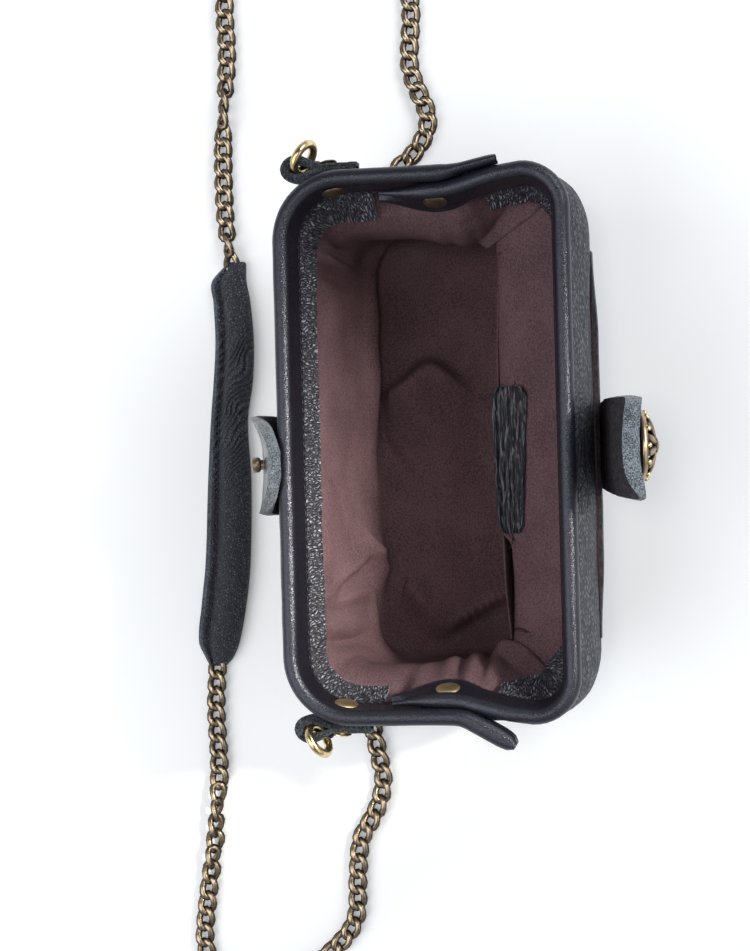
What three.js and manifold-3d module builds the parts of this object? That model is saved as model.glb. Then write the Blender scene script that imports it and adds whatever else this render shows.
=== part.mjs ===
// A small framed leather clutch bag, standing open, with a cotton lining and a chain strap on the floor.
// Millimetres, +Z up. The front, with the stud, faces -Y. The closure strap rises from the back wall at +Y.
// The origin is the middle of the base, on the floor.
import * as THREE from "three";
import { LoftGeometry } from "three/addons/geometries/LoftGeometry.js";
import { mergeGeometries, mergeVertices } from "three/addons/utils/BufferGeometryUtils.js";
import Module from "manifold-3d";

const wasm = await Module();
wasm.setup();

// Driving dimensions
const MOUTH_LENGTH = 199;
const MOUTH_WIDTH = 107;
const RIM_HEIGHT = 105;
const ROLL_RADIUS = 3;
const LEATHER = 2;
const CLOTH = 1;
const GAP = 0.35;
const PIVOT_Y = 5;

// Half frames: a round roll with a flat band below it, which leans into the mouth
const ROLL_X = MOUTH_LENGTH / 2 - ROLL_RADIUS;
const ROLL_Y = MOUTH_WIDTH / 2 - ROLL_RADIUS;
const FRONT_CORNER = 22;
const BACK_CORNER = 14;
const ROLL_ANGLES = [-65, -30, 5, 40, 75, 110, 145, 180];
const BAND_DROP = 12;
const BAND_LEAN = 0.194;
const BAND_MIDDLE = -1.4;
const BAND_TOP = 2.2;
const TAIL_START_Y = 7;
const TAIL_FULL_Y = 16;
const BAND_END_Y = 11;
const TAIL_WIDTH_SHARE = 0.6;
const TAIL_BAND_DROP = 3.2;
const ARM_TIP_SHARE = 0.35;
const ARM_TIP_DROP = 3.2;
const ARM_DIP_START_Y = 30;
const ARM_DIP = { pivot: 3, tip: 5 };
const ARM_TIP_Y = -15;
const LEFT_TAIL = [[-100.7, 28], [-99, 20], [-97.5, 13], [-96.8, 10]];
const RIGHT_TAIL = [[96.8, 10], [97.7, 13], [100.8, 19], [104.2, 25], [107, 29.6]];
const BACK_ARM = [
  [90.4, ARM_TIP_Y], [89.8, -6], [89.8, PIVOT_Y], [90.7, 11], [92.1, 16], [93.9, 22], [95.3, 28],
];
const FRONT_RIM_STEPS = [6, 2, 6, 3, 6, 2, 7];
const BACK_RIM_STEPS = [10, 5, 3, 5, 10];
const FRONT_FACING_STEPS = [1, 4, 6, 4, 6, 4, 1];

// Turns rows of numbers into objects that carry the columns' names
function table(columns, rows) {
  return rows.map((row) => Object.fromEntries(columns.map((column, index) => [column, row[index]])));
}

// Facings: bands sewn behind the half frames, with how far each reaches in at its lower edge along x
const FACING = { thick: 1.4, topUp: -9.5, lowUp: -26.5, topOut: -1.2, bend: 0.2 };
const FRONT_FACING = {
  endY: -17,
  lowEdge: table(["x", "out"], [[-97, -12.5], [-88, -9.6], [-70, -7.2], [0, -6.6], [75, -7], [97, -8.3]]),
};
const BACK_FACING = {
  endY: 24,
  lowEdge: table(["x", "out"], [[-97, -8], [-88, -7.5], [-70, -3], [70, -3], [88, -7.5], [97, -8]]),
};

// Shell: one row for each height, with the reach of each side and how far the gussets fold in
const SHELL_ROWS = table(
  ["z", "halfLength", "front", "back", "frontCorner", "backCorner", "gusset"],
  [
    [0, 82, 32, 32, 14, 14, 0],
    [3, 87.5, 37.5, 37.5, 18, 18, 0],
    [11, 91.5, 43, 43, 21, 20, 1],
    [30, 95.5, 51, 51, 24, 22, 6],
    [50, 97.6, 56, 56, 25, 22, 12],
    [68, 98.9, 57.5, 57.5, 25, 21, 12],
    [84, 99.2, 56, 56.6, 24, 19, 5],
    [95, 98.9, 53.6, 54.2, 23.5, 17, 1],
    [101.6, 98.4, 52.5, 52.4, 24, 16, 0],
  ],
);
const GUSSET_HALF_WIDTH = { shell: 25, lining: 23 };

// Lining: rows of its outer face from the sewn top edge down to the bottom of the pouch
const LINING_ROWS = table(
  ["z", "halfLength", "backHalf", "front", "back", "frontCorner", "backCorner", "gusset", "gather"],
  [
    [83, 94.3, 96.2, 47.9, 50.8, 19, 13, 4.2, 0],
    [77.4, 92.6, 95.8, 46.3, 50.2, 18, 13, 9, 0.8],
    [68, 90, 91, 44.6, 37.5, 17, 12, 12, 1.2],
    [57, 89, 89, 43.2, 26, 16, 11, 12.5, 1],
    [42, 88, 88, 41.4, 27.6, 15, 11, 9, 0.4],
    [24, 87, 87, 39, 30.6, 15, 12, 4, 0],
    [11, 84.5, 84.5, 36, 31, 15, 12, 1, 0],
    [5.5, 80, 80, 32, 28.5, 13, 11, 0, 0],
  ],
);
const LINING_RISE = 8.5;
const RISE_DEPTH = 22;
const RISE_EDGES = { from: -15, full: -9, fullEnd: 14, to: 21 };
const GATHER_PITCH = 9.5;

// Folds of the lining's front wall: upright creases, each at x, pushing the cloth in by depth over a width
const WALL_FOLDS = [
  { x: -62, depth: 2.2, width: 9, z: 40, tall: 26 },
  { x: 46, depth: 3.4, width: 8, z: 26, tall: 20 },
  { x: 66, depth: 2.6, width: 9, z: 38, tall: 24 },
];

// Pocket inside, on the lining's back wall, and the strip sewn over its mouth
const INNER_POCKET = { left: -76, right: 74, sideIn: 2.4, sidePower: 4 };
const INNER_POCKET_ROWS = [
  { z: 57, y: 21 },
  { z: 45, y: 22.5 },
  { z: 28, y: 25 },
  { z: 13, y: 26.5 },
];
const POCKET_STRIP = { left: -21, right: 33, thick: 1.8 };
const POCKET_STRIP_ROWS = [
  { y: 19.8, z: 57.6 },
  { y: 22.5, z: 58.6 },
  { y: 27, z: 60.8 },
  { y: 31, z: 63.8 },
];

// Slip pocket on the back wall
const OUTER_POCKET = { left: -70, right: 72, low: 16, high: 70, thick: 1.8, rows: 5, mouthGap: 1.1 };

// Closure strap and stud tab: rows up the face next to the bag, with how far the two edges curl out
const STRAP_COLUMNS = ["x", "y", "z", "width", "thick", "left", "right"];
const CLOSURE_ROWS = table(STRAP_COLUMNS, [
  [1, 55.8, 36, 30, 2.6, 0, 0],
  [1.1, 59.2, 50, 33, 3, 0, 0],
  [1.1, 60.4, 60, 33.2, 3.6, 0, 0],
  [1.2, 61.1, 70, 33.4, 4.6, 0, 0.2],
  [1.6, 62.6, 82, 33.8, 5.4, 0.2, 0.8],
  [2.2, 65, 98, 34.4, 6.2, 0.5, 2],
  [3, 69.6, 124, 34.8, 6.4, 1.4, 4],
  [3.3, 71.4, 134, 33.6, 6.4, 1.7, 5],
  [3.4, 71.8, 136, 29, 6, 1.2, 3.6],
]);
const TAB_ROWS = table(STRAP_COLUMNS, [
  [5.5, -57.9, 56, 30, 2.4, 0, 0],
  [5.5, -58.2, 68, 35, 3.4, 0.5, 0.2],
  [5.5, -58.2, 82, 36, 4.4, 3.5, 1.2],
  [5.5, -57.2, 92, 35, 4.6, 4.5, 1.8],
  [5.5, -55.8, 98, 33.6, 4.6, 4, 1.8],
  [5.5, -54.8, 102, 30.6, 4.6, 2.6, 1.4],
  [5.5, -53.6, 106, 25, 4.6, 1.4, 0.8],
  [5.5, -52.4, 109, 18, 4.5, 0.6, 0.3],
  [5.5, -51.2, 111.3, 9, 4.3, 0, 0],
]);
const STRAP_ACROSS = [-1, -0.6, 0, 0.6, 1];

// Brass parts
const STUD = { x: 5.3, z: 103.3, seatY: -59.6, lean: 0.27 };
const STUD_PROFILE = table(
  ["radius", "up"],
  [[0, 0], [1.2, 0], [1.2, 2.2], [2.5, 2.2], [2.5, 3.1], [1.5, 3.8], [0, 3.8]],
);
const CONCHO = { x: 2.4, y: 77, z: 121, lean: 0.176 };
const CONCHO_DOME = { radius: 11.4, low: 1.8, high: 5.4, wall: 1 };
const CONCHO_RIM = table(
  ["radius", "up"],
  [[10.7, 0], [12.2, 0], [12.2, 1.3], [11.6, 1.8], [10.7, 1.8], [10.7, 0]],
);
const CONCHO_BOSS = table(
  ["radius", "up"],
  [[0, 0], [1.7, 0], [1.7, 4.4], [3.4, 5.1], [2.6, 6.3], [0, 6.9]],
);
const CONCHO_PETALS = 12;
const DOME_STEPS = 5;
const BEAD_SIDES = 6;
const BEAD_RINGS = 4;
const CONCHO_GAP = { inner: 4.6, outer: 10, innerHalf: 0.35, outerHalf: 1.35 };
const CONCHO_BEAD = { radius: 0.85, out: 11.4, up: 2.2 };
const RIVET = { postRadius: 1.5, holeRadius: 1.9, sides: 12 };
const RIVET_CAP = table(["radius", "up"], [[0, -1.3], [2.7, -1.05], [4.4, -0.3], [4.4, 0]]);
const RIVET_BACK = table(["radius", "up"], [[3.4, 0], [3.4, 0.4], [2, 1], [0, 1]]);
const PIVOT_RIVET = { innerX: 85.5, outerX: 100, z: 96.2 };
const TAB_RIVET = { arc: 0.2, innerOut: -4.9, outerOut: 8.1, z: 98.4 };
const RING = { radius: 5.4, wire: 1.4, hang: 0.03, swing: 0.54, lean: 0.3, slack: 0.4 };
const RING_STEPS = { wire: 6, round: 18 };

// Ring tabs: a strip laid along the arm outside the shell, folded round the ring at its corner end
const RING_TAB = { faceX: 99.4, thick: 3.4, foldY: -45.5, endY: -23, low: 94.2, height: 6 };
const TAB_EYE = { along: 4.2, across: 3, wall: 1.8, shoulder: 2.5, taper: 8.2, segments: 7 };

// Shoulder pad: rows along X, with its sewn edge and its folded edge
const PAD_ROWS = table(
  ["x", "sewn", "folded", "high"],
  [
    [-78, -95.6, -87.8, 4.2],
    [-77, -96, -87.3, 5.6],
    [-70.3, -101.9, -87.2, 7.2],
    [-62, -101.4, -85.8, 7.8],
    [-46, -101, -84.7, 8.2],
    [-29.6, -102.2, -85.5, 8.2],
    [-13.4, -103.8, -88, 8],
    [11, -105.6, -87.2, 8.2],
    [43.6, -107.5, -88.4, 8.2],
    [60, -109.5, -90.4, 8],
    [76, -111.2, -93.8, 7.2],
    [83, -108.4, -97, 5.6],
    [86, -106.8, -100, 3.6],
  ],
);
const PAD_EDGE_HEIGHT = 3.4;

// Corners of the pad's section: the way across, and the shares of the edge's height and of the full height
const PAD_SECTION = table(
  ["across", "ofEdge", "ofHigh"],
  [
    [0, 0.06, 0],
    [0.25, 0, 0],
    [0.75, 0, 0],
    [0.95, 0, 0.2],
    [1, 0, 0.5],
    [0.92, 0, 0.82],
    [0.72, 0, 1],
    [0.4, 0.25, 0.75],
    [0.16, 1.08, 0],
    [0, 1, 0],
  ],
);

// Chain strap: its route from each ring down the end of the bag, over the floor and round to the pad
const CHAIN_RADIUS = 2.5;
const CHAIN_SIDES = 8;
const CHAIN_STEP = 12;
const CHAIN_LEFT_ROUTE = [
  [-103.6, -42, 90.1], [-102, -41.6, 62], [-102.4, -38, 32], [-104.6, -32, 11], [-108.6, -27, 3.6],
  [-115, -21.5, CHAIN_RADIUS], [-121, -15, CHAIN_RADIUS], [-132, -11, CHAIN_RADIUS],
  [-144, -15, CHAIN_RADIUS], [-155, -18, CHAIN_RADIUS], [-180, -17, CHAIN_RADIUS],
  [-204, -22, CHAIN_RADIUS], [-219, -41, CHAIN_RADIUS], [-221, -62, CHAIN_RADIUS],
  [-209, -84, CHAIN_RADIUS], [-186, -93, CHAIN_RADIUS], [-162, -93, CHAIN_RADIUS],
  [-128, -95.5, CHAIN_RADIUS], [-97, -95.5, CHAIN_RADIUS], [-78.4, -93.4, CHAIN_RADIUS],
];
const CHAIN_RIGHT_ROUTE = [
  [103.6, -42, 90.1], [102, -41.6, 62], [102.8, -41, 32], [105.4, -40.4, 11], [110, -40, 3.6],
  [121, -38.2, CHAIN_RADIUS], [133, -36.2, CHAIN_RADIUS], [145, -39.4, CHAIN_RADIUS],
  [156, -45.6, CHAIN_RADIUS], [170, -47.5, CHAIN_RADIUS], [188, -48.8, CHAIN_RADIUS],
  [199, -56, CHAIN_RADIUS], [210, -70, CHAIN_RADIUS], [218, -87, CHAIN_RADIUS],
  [215, -104, CHAIN_RADIUS], [201, -111.5, CHAIN_RADIUS], [180, -110, CHAIN_RADIUS],
  [158, -106.5, CHAIN_RADIUS], [130, -104, CHAIN_RADIUS], [104, -104.6, CHAIN_RADIUS],
  [86.4, -103.6, CHAIN_RADIUS],
];

// Finishes
const FINISHES = {
  pebbled: { color: 0x1c1d22, roughness: 0.55, metalness: 0 },
  smooth: { color: 0x202127, roughness: 0.42, metalness: 0 },
  suede: { color: 0x2b3440, roughness: 0.95, metalness: 0 },
  cotton: { color: 0x49312f, roughness: 0.9, metalness: 0 },
  brass: { color: 0xb08d4f, roughness: 0.3, metalness: 1 },
  oldBrass: { color: 0x6f5f43, roughness: 0.45, metalness: 1 },
};

const ENDS = { left: -1, right: 1 };
const bag = new THREE.Group();

function add(name, geometry, finish) {
  const mesh = new THREE.Mesh(geometry, new THREE.MeshStandardMaterial(FINISHES[finish]));
  mesh.name = name;
  bag.add(mesh);
}

// Joining and cutting
const MERGE_DISTANCE = 1e-3;

function solidOf(geometry) {
  const bare = new THREE.BufferGeometry();
  bare.setAttribute("position", geometry.attributes.position);
  bare.setIndex(geometry.index);
  const merged = mergeVertices(bare, MERGE_DISTANCE);
  const vertProperties = merged.attributes.position.array;
  const triVerts = new Uint32Array(merged.index.array);
  return new wasm.Manifold(new wasm.Mesh({ numProp: 3, vertProperties, triVerts }));
}

function geometryOf(solid) {
  const { vertProperties, triVerts } = solid.getMesh();
  const geometry = new THREE.BufferGeometry();
  geometry.setAttribute("position", new THREE.BufferAttribute(vertProperties, 3));
  geometry.setIndex(new THREE.BufferAttribute(triVerts, 1));
  return geometry;
}

function cut(geometry, cutters) {
  return geometryOf(cutters.reduce((rest, cutter) => rest.subtract(solidOf(cutter)), solidOf(geometry)));
}

function join(geometries) {
  const [first, ...others] = geometries.map(solidOf);
  return geometryOf(others.reduce((whole, other) => whole.add(other), first));
}

// Shapes shared by several pieces

const mix = THREE.MathUtils.lerp;
const smooth = THREE.MathUtils.smoothstep;

// Shorter than this, a curve of a path only joins a line to an arc
const JOINT_LENGTH = 1e-3;

function loft(sections) {
  return new LoftGeometry(sections, { capStart: true, capEnd: true });
}

// A pouch: up the outer loops, over the top edge and down the inner ones to a level floor
function hollow(outside, inside) {
  const walls = new LoftGeometry([...outside, ...inside.toReversed()], { capStart: true, capEnd: false });
  const floor = new THREE.ShapeGeometry(new THREE.Shape(inside[0]));
  floor.translate(0, 0, inside[0][0].z);
  return mergeGeometries([walls, floor]);
}

// One column of a table where another has a given value, read along straight lines between the rows
function readAt(rows, key, value, column) {
  const above = rows.findIndex((row) => row[key] >= value);
  const high = rows[above];
  const low = rows[above - 1];
  return mix(low[column], high[column], (value - low[key]) / (high[key] - low[key]));
}

// How much of the gusset's fold a point at y has: all of it at the pivot and none at the corners
function foldShare(y, halfWidth) {
  const across = Math.min(Math.abs(y - PIVOT_Y) / halfWidth, 1);
  return Math.cos((across * Math.PI) / 2) ** 2;
}

// A level loop with round corners, counterclockwise from the middle of the front wall
function outlineOf(row, inset) {
  const half = row.halfLength - inset;
  const backHalf = (row.backHalf ?? row.halfLength) - inset;
  const front = -(row.front - inset);
  const back = row.back - inset;
  const frontCorner = row.frontCorner - inset;
  const backCorner = row.backCorner - inset;
  const path = new THREE.Path();
  path.moveTo(0, front);
  path.lineTo(half - frontCorner, front);
  path.absarc(half - frontCorner, front + frontCorner, frontCorner, -Math.PI / 2, 0);
  path.lineTo(backHalf, back - backCorner);
  path.absarc(backHalf - backCorner, back - backCorner, backCorner, 0, Math.PI / 2);
  path.lineTo(-backHalf + backCorner, back);
  path.absarc(-backHalf + backCorner, back - backCorner, backCorner, Math.PI / 2, Math.PI);
  path.lineTo(-half, front + frontCorner);
  path.absarc(-half + frontCorner, front + frontCorner, frontCorner, Math.PI, Math.PI * 1.5);
  path.lineTo(0, front);
  return path;
}

// The points of a path, with a chosen number of steps on each of its curves
function pointsOf(path, counts) {
  const curves = path.curves.filter((curve) => curve.getLength() > JOINT_LENGTH);
  const points = [curves[0].getPoint(0)];
  curves.forEach((curve, index) => {
    const count = counts[index];
    for (let i = 1; i <= count; i++) points.push(curve.getPoint(i / count));
  });
  return points;
}

// A section swept along points in plan. profileAt gives its corners as [out, up] at each point
function sweep(points, profileAt) {
  const sections = points.map((point, index) => {
    const before = points[Math.max(index - 1, 0)];
    const after = points[Math.min(index + 1, points.length - 1)];
    const along = after.clone().sub(before).normalize();
    const outward = new THREE.Vector2(along.y, -along.x);
    return profileAt(point).map(([out, up]) => {
      const place = point.clone().addScaledVector(outward, out);
      return new THREE.Vector3(place.x, place.y, RIM_HEIGHT + up);
    });
  });
  return loft(sections);
}

// Leather body
const SHELL_STEPS = [3, 4, 8, 4, 6, 4, 8, 4, 3];

function shellLoop(row, inset, lift) {
  const loop = pointsOf(outlineOf(row, inset), SHELL_STEPS).slice(0, -1);
  return loop.map((point) => {
    const fold = row.gusset * foldShare(point.y, GUSSET_HALF_WIDTH.shell) * Math.sign(point.x);
    const onEnd = Math.abs(point.x) > row.halfLength - row.frontCorner ? 1 : 0;
    return new THREE.Vector3(point.x - fold * onEnd, point.y, row.z + lift);
  });
}

function leatherShell() {
  const outside = SHELL_ROWS.map((row) => shellLoop(row, 0, 0));
  const inside = SHELL_ROWS.map((row, index) => {
    return shellLoop(row, LEATHER, LEATHER * Math.max(1 - index / 2, 0));
  });
  return hollow(outside, inside);
}

// Half frames

function frontRimPath() {
  const [leftTip, ...leftTail] = LEFT_TAIL.map(([x, y]) => new THREE.Vector2(x, y));
  const rightTail = RIGHT_TAIL.map(([x, y]) => new THREE.Vector2(x, y));
  const path = new THREE.Path();
  path.moveTo(leftTip.x, leftTip.y);
  path.splineThru([...leftTail, new THREE.Vector2(-ROLL_X, PIVOT_Y)]);
  path.lineTo(-ROLL_X, -ROLL_Y + FRONT_CORNER);
  path.absarc(-ROLL_X + FRONT_CORNER, -ROLL_Y + FRONT_CORNER, FRONT_CORNER, Math.PI, Math.PI * 1.5);
  path.lineTo(ROLL_X - FRONT_CORNER, -ROLL_Y);
  path.absarc(ROLL_X - FRONT_CORNER, -ROLL_Y + FRONT_CORNER, FRONT_CORNER, -Math.PI / 2, 0);
  path.lineTo(ROLL_X, PIVOT_Y);
  path.splineThru(rightTail);
  return path;
}

function backRimPath() {
  const rightArm = BACK_ARM.map(([x, y]) => new THREE.Vector2(x, y));
  const leftArm = BACK_ARM.map(([x, y]) => new THREE.Vector2(-x, y)).reverse();
  const cornerX = ROLL_X - BACK_CORNER;
  const cornerY = ROLL_Y - BACK_CORNER;
  const path = new THREE.Path();
  path.moveTo(rightArm[0].x, rightArm[0].y);
  path.splineThru([...rightArm.slice(1), new THREE.Vector2(ROLL_X, cornerY)]);
  path.absarc(cornerX, cornerY, BACK_CORNER, 0, Math.PI / 2);
  path.lineTo(-cornerX, ROLL_Y);
  path.absarc(-cornerX, cornerY, BACK_CORNER, Math.PI / 2, Math.PI);
  path.splineThru(leftArm);
  return path;
}

// Corners of a rim's section: over the roll from outside to inside, then round the band
function rimProfile(radius, bandDrop, widthShare, lift) {
  const roll = ROLL_ANGLES.map((degrees) => {
    const angle = THREE.MathUtils.degToRad(degrees);
    return [Math.cos(angle) * radius, Math.sin(angle) * radius];
  });
  const bandAt = (up, side) => [BAND_MIDDLE + BAND_LEAN * up + (side * LEATHER) / 2, up];
  const band = [bandAt(-bandDrop, -1), bandAt(-bandDrop, 1), bandAt(-BAND_TOP, 1)];
  return [...roll, ...band].reverse().map(([out, up]) => [out * widthShare, up + lift]);
}

function frontRim() {
  const points = pointsOf(frontRimPath(), FRONT_RIM_STEPS);
  return sweep(points, (point) => {
    const flattened = smooth(point.y, TAIL_START_Y, TAIL_FULL_Y);
    const bandGone = smooth(point.y, TAIL_START_Y, BAND_END_Y);
    const bandDrop = mix(BAND_DROP, TAIL_BAND_DROP, bandGone);
    return rimProfile(ROLL_RADIUS, bandDrop, mix(1, TAIL_WIDTH_SHARE, flattened), 0);
  });
}

function backRim() {
  const points = pointsOf(backRimPath(), BACK_RIM_STEPS);
  return sweep(points, (point) => {
    const toPivot = smooth(-point.y, -ARM_DIP_START_Y, -PIVOT_Y);
    const toTip = smooth(-point.y, -PIVOT_Y, -ARM_TIP_Y);
    const dip = ARM_DIP.pivot * toPivot + (ARM_DIP.tip - ARM_DIP.pivot) * toTip;
    const radius = ROLL_RADIUS * mix(1, ARM_TIP_SHARE, toTip);
    return rimProfile(radius, mix(BAND_DROP, ARM_TIP_DROP, toTip), 1, -dip);
  });
}

// Facings

function facing(path, steps, { lowEdge, endY }, keep) {
  const { thick, topUp, lowUp, topOut, bend } = FACING;
  const kept = pointsOf(path, steps).filter((point) => keep * (point.y - endY) > 0);
  const middleUp = (topUp + lowUp) / 2;
  return sweep(kept, (point) => {
    const lowOut = readAt(lowEdge, "x", point.x, "out");
    const middleOut = mix(topOut, lowOut, bend);
    return [
      [topOut - thick / 2, topUp],
      [topOut + thick / 2, topUp],
      [middleOut + thick / 2, middleUp],
      [lowOut + thick / 2, lowUp],
      [lowOut - thick / 2, lowUp],
      [middleOut - thick / 2, middleUp],
    ];
  });
}

// Lining: a thin pouch with gathered ends and creased front wall

const LINING_STEPS = [6, 3, 12, 3, 6, 3, 12, 3, 6];

function wallCrease(x, z) {
  const depths = WALL_FOLDS.map((fold) => {
    const across = (x - fold.x) / fold.width;
    const up = (z - fold.z) / fold.tall;
    return fold.depth * Math.exp(-across * across - up * up);
  });
  const aboveBottom = smooth(z, LINING_ROWS.at(-1).z, LINING_ROWS.at(-2).z);
  return aboveBottom * depths.reduce((sum, depth) => sum + depth, 0);
}

function liningLoop(row, inset, lift) {
  const { from, full, fullEnd, to } = RISE_EDGES;
  const top = LINING_ROWS[0].z;
  const riseShare = smooth(row.z, top - RISE_DEPTH, top);
  const loop = pointsOf(outlineOf(row, inset), LINING_STEPS).slice(0, -1);
  return loop.map((point) => {
    const onEnd = Math.abs(point.x) > row.halfLength - row.frontCorner ? 1 : 0;
    const rise = smooth(point.y, from, full) * (1 - smooth(point.y, fullEnd, to)) * onEnd;
    const gathers = row.gather * Math.cos((2 * Math.PI * (point.y - PIVOT_Y)) / GATHER_PITCH);
    const share = foldShare(point.y, GUSSET_HALF_WIDTH.lining) * onEnd;
    const fold = (row.gusset + gathers) * share * Math.sign(point.x);
    const onFront = point.y < -(row.front - row.frontCorner) ? 1 : 0;
    const crease = wallCrease(point.x, row.z) * onFront;
    const z = row.z + lift + LINING_RISE * rise * riseShare;
    return new THREE.Vector3(point.x - fold, point.y + crease, z);
  });
}

function lining() {
  const rows = [...LINING_ROWS].reverse();
  const outside = rows.map((row) => liningLoop(row, 0, 0));
  const inside = rows.map((row, index) => liningLoop(row, CLOTH, CLOTH * Math.max(1 - index, 0)));
  return hollow(outside, inside);
}

// A flat piece lofted along X: rows give its near face in the YZ plane, and across leads to its far face
function sheetAlongX(stations, rowsAt, across) {
  const sections = stations.map((x) => {
    const near = rowsAt(x).map(({ y, z }) => new THREE.Vector3(x, y, z));
    const far = near.map((point) => point.clone().add(across));
    return [...near, ...far.reverse()];
  });
  return loft(sections);
}

function steps(from, to, count) {
  return Array.from({ length: count + 1 }, (_, i) => mix(from, to, i / count));
}

function innerPocket() {
  const { left, right, sideIn, sidePower } = INNER_POCKET;
  const rowsAt = (x) => {
    const side = Math.abs((2 * (x - left)) / (right - left) - 1) ** sidePower;
    return INNER_POCKET_ROWS.map(({ y, z }, index) => ({ y: y + (sideIn * side) / (index + 1), z }));
  };
  return sheetAlongX(steps(left, right, 10), rowsAt, new THREE.Vector3(0, CLOTH, 0));
}

function pocketStrip() {
  const { left, right, thick } = POCKET_STRIP;
  return sheetAlongX(steps(left, right, 4), () => POCKET_STRIP_ROWS, new THREE.Vector3(0, 0, thick));
}

function outerPocket() {
  const { left, right, low, high, thick, rows, mouthGap } = OUTER_POCKET;
  const heights = [...steps(low, high, rows), ...SHELL_ROWS.map((row) => row.z)];
  const inside = heights.filter((z) => z >= low && z <= high).sort((a, b) => b - a);
  const near = inside.map((z) => {
    const gap = mix(GAP, mouthGap, (z - low) / (high - low));
    return { y: readAt(SHELL_ROWS, "z", z, "back") + gap, z };
  });
  return sheetAlongX(steps(left, right, 2), () => near, new THREE.Vector3(0, thick, 0));
}

// Straps: sections up the piece, each with its near face towards the bag and its far face outside
function strap(rows, outside) {
  const sections = rows.map((row, index) => {
    const before = rows[Math.max(index - 1, 0)];
    const after = rows[Math.min(index + 1, rows.length - 1)];
    const along = new THREE.Vector2(after.y - before.y, after.z - before.z).normalize();
    const normal = new THREE.Vector2(along.y, -along.x).multiplyScalar(outside);
    const place = (share, depth) => {
      const curl = (share < 0 ? row.left : row.right) * Math.abs(share) ** 3;
      const y = row.y + normal.x * depth + outside * curl;
      return new THREE.Vector3(row.x + (share * row.width) / 2, y, row.z + normal.y * depth);
    };
    const near = STRAP_ACROSS.map((share) => place(share, 0));
    const far = STRAP_ACROSS.map((share) => place(share, row.thick)).reverse();
    return outside > 0 ? [...near, ...far] : [...far.reverse(), ...near.reverse()];
  });
  return loft(sections);
}

// Brass parts

// Turns a piece made round +Y so that it points along a direction, and moves it to a place
function pointed(geometry, direction, place) {
  const upright = new THREE.Vector3(0, 1, 0);
  const turn = new THREE.Quaternion().setFromUnitVectors(upright, direction.clone().normalize());
  return geometry.applyQuaternion(turn).translate(place.x, place.y, place.z);
}

function lathe(profile, segments) {
  return new THREE.LatheGeometry(profile.map(({ radius, up }) => new THREE.Vector2(radius, up)), segments);
}

function rivet(length) {
  const post = [0, length].map((up) => ({ radius: RIVET.postRadius, up }));
  const back = RIVET_BACK.map(({ radius, up }) => ({ radius, up: up + length }));
  return lathe([...RIVET_CAP, ...post, ...back], RIVET.sides);
}

// A rivet's line: from the inner cap's seat, out and a little down, as the band leans
function rivetLine(side, kind) {
  if (kind === "pivot") {
    const seat = new THREE.Vector3(side * PIVOT_RIVET.innerX, PIVOT_Y, PIVOT_RIVET.z);
    const direction = new THREE.Vector3(side, 0, -BAND_LEAN);
    const length = (PIVOT_RIVET.outerX - PIVOT_RIVET.innerX) * Math.hypot(1, BAND_LEAN);
    return { seat, direction, length };
  }
  const outward = new THREE.Vector3(side * Math.cos(TAB_RIVET.arc), -Math.sin(TAB_RIVET.arc), 0);
  const centre = new THREE.Vector3(side * (ROLL_X - FRONT_CORNER), -ROLL_Y + FRONT_CORNER, TAB_RIVET.z);
  const seat = centre.addScaledVector(outward, FRONT_CORNER + TAB_RIVET.innerOut);
  const direction = outward.clone().setZ(-BAND_LEAN);
  return { seat, direction, length: (TAB_RIVET.outerOut - TAB_RIVET.innerOut) * Math.hypot(1, BAND_LEAN) };
}

function rivetHole({ seat, direction, length }) {
  const drill = new THREE.CylinderGeometry(RIVET.holeRadius, RIVET.holeRadius, 2 * length, RIVET.sides);
  return pointed(drill, direction, seat);
}

function snapStud() {
  const direction = new THREE.Vector3(0, -1, STUD.lean);
  const seat = new THREE.Vector3(STUD.x, STUD.seatY, STUD.z);
  return pointed(lathe(STUD_PROFILE, RIVET.sides), direction, seat);
}

// The opening between two petals, narrow near the boss and pointed at the rim
function petalGap() {
  const { inner, outer, innerHalf, outerHalf } = CONCHO_GAP;
  const shape = new THREE.Shape();
  shape.moveTo(inner, -innerHalf);
  shape.lineTo(outer - outerHalf, -outerHalf);
  shape.lineTo(outer, 0);
  shape.lineTo(outer - outerHalf, outerHalf);
  shape.lineTo(inner, innerHalf);
  const prism = new THREE.ExtrudeGeometry(shape, { depth: 2 * CONCHO_DOME.high, bevelEnabled: false });
  return prism.rotateX(-Math.PI / 2);
}

function petalDome() {
  const { radius: reach, low, high, wall } = CONCHO_DOME;
  const over = steps(1, 0, DOME_STEPS).map((share) => {
    return { radius: reach * share, up: mix(high, low, share * share) };
  });
  const under = over.map(({ radius, up }) => ({ radius, up: up - wall })).reverse();
  return lathe([...under, ...over], CONCHO_PETALS * 2);
}

function concho() {
  const turns = steps(0, 2 * Math.PI, CONCHO_PETALS).slice(1);
  const gaps = turns.map((turn) => petalGap().rotateY(turn));
  const beads = turns.map((turn) => {
    const bead = new THREE.SphereGeometry(CONCHO_BEAD.radius, BEAD_SIDES, BEAD_RINGS);
    return bead.translate(CONCHO_BEAD.out, CONCHO_BEAD.up, 0).rotateY(turn);
  });
  const rim = lathe(CONCHO_RIM, CONCHO_PETALS * 2);
  const boss = lathe(CONCHO_BOSS, CONCHO_PETALS);
  const whole = join([cut(petalDome(), gaps), rim, boss, ...beads]);
  const direction = new THREE.Vector3(0, 1, -CONCHO.lean);
  return pointed(whole, direction, new THREE.Vector3(CONCHO.x, CONCHO.y, CONCHO.z));
}

// Ring tabs and rings

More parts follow.
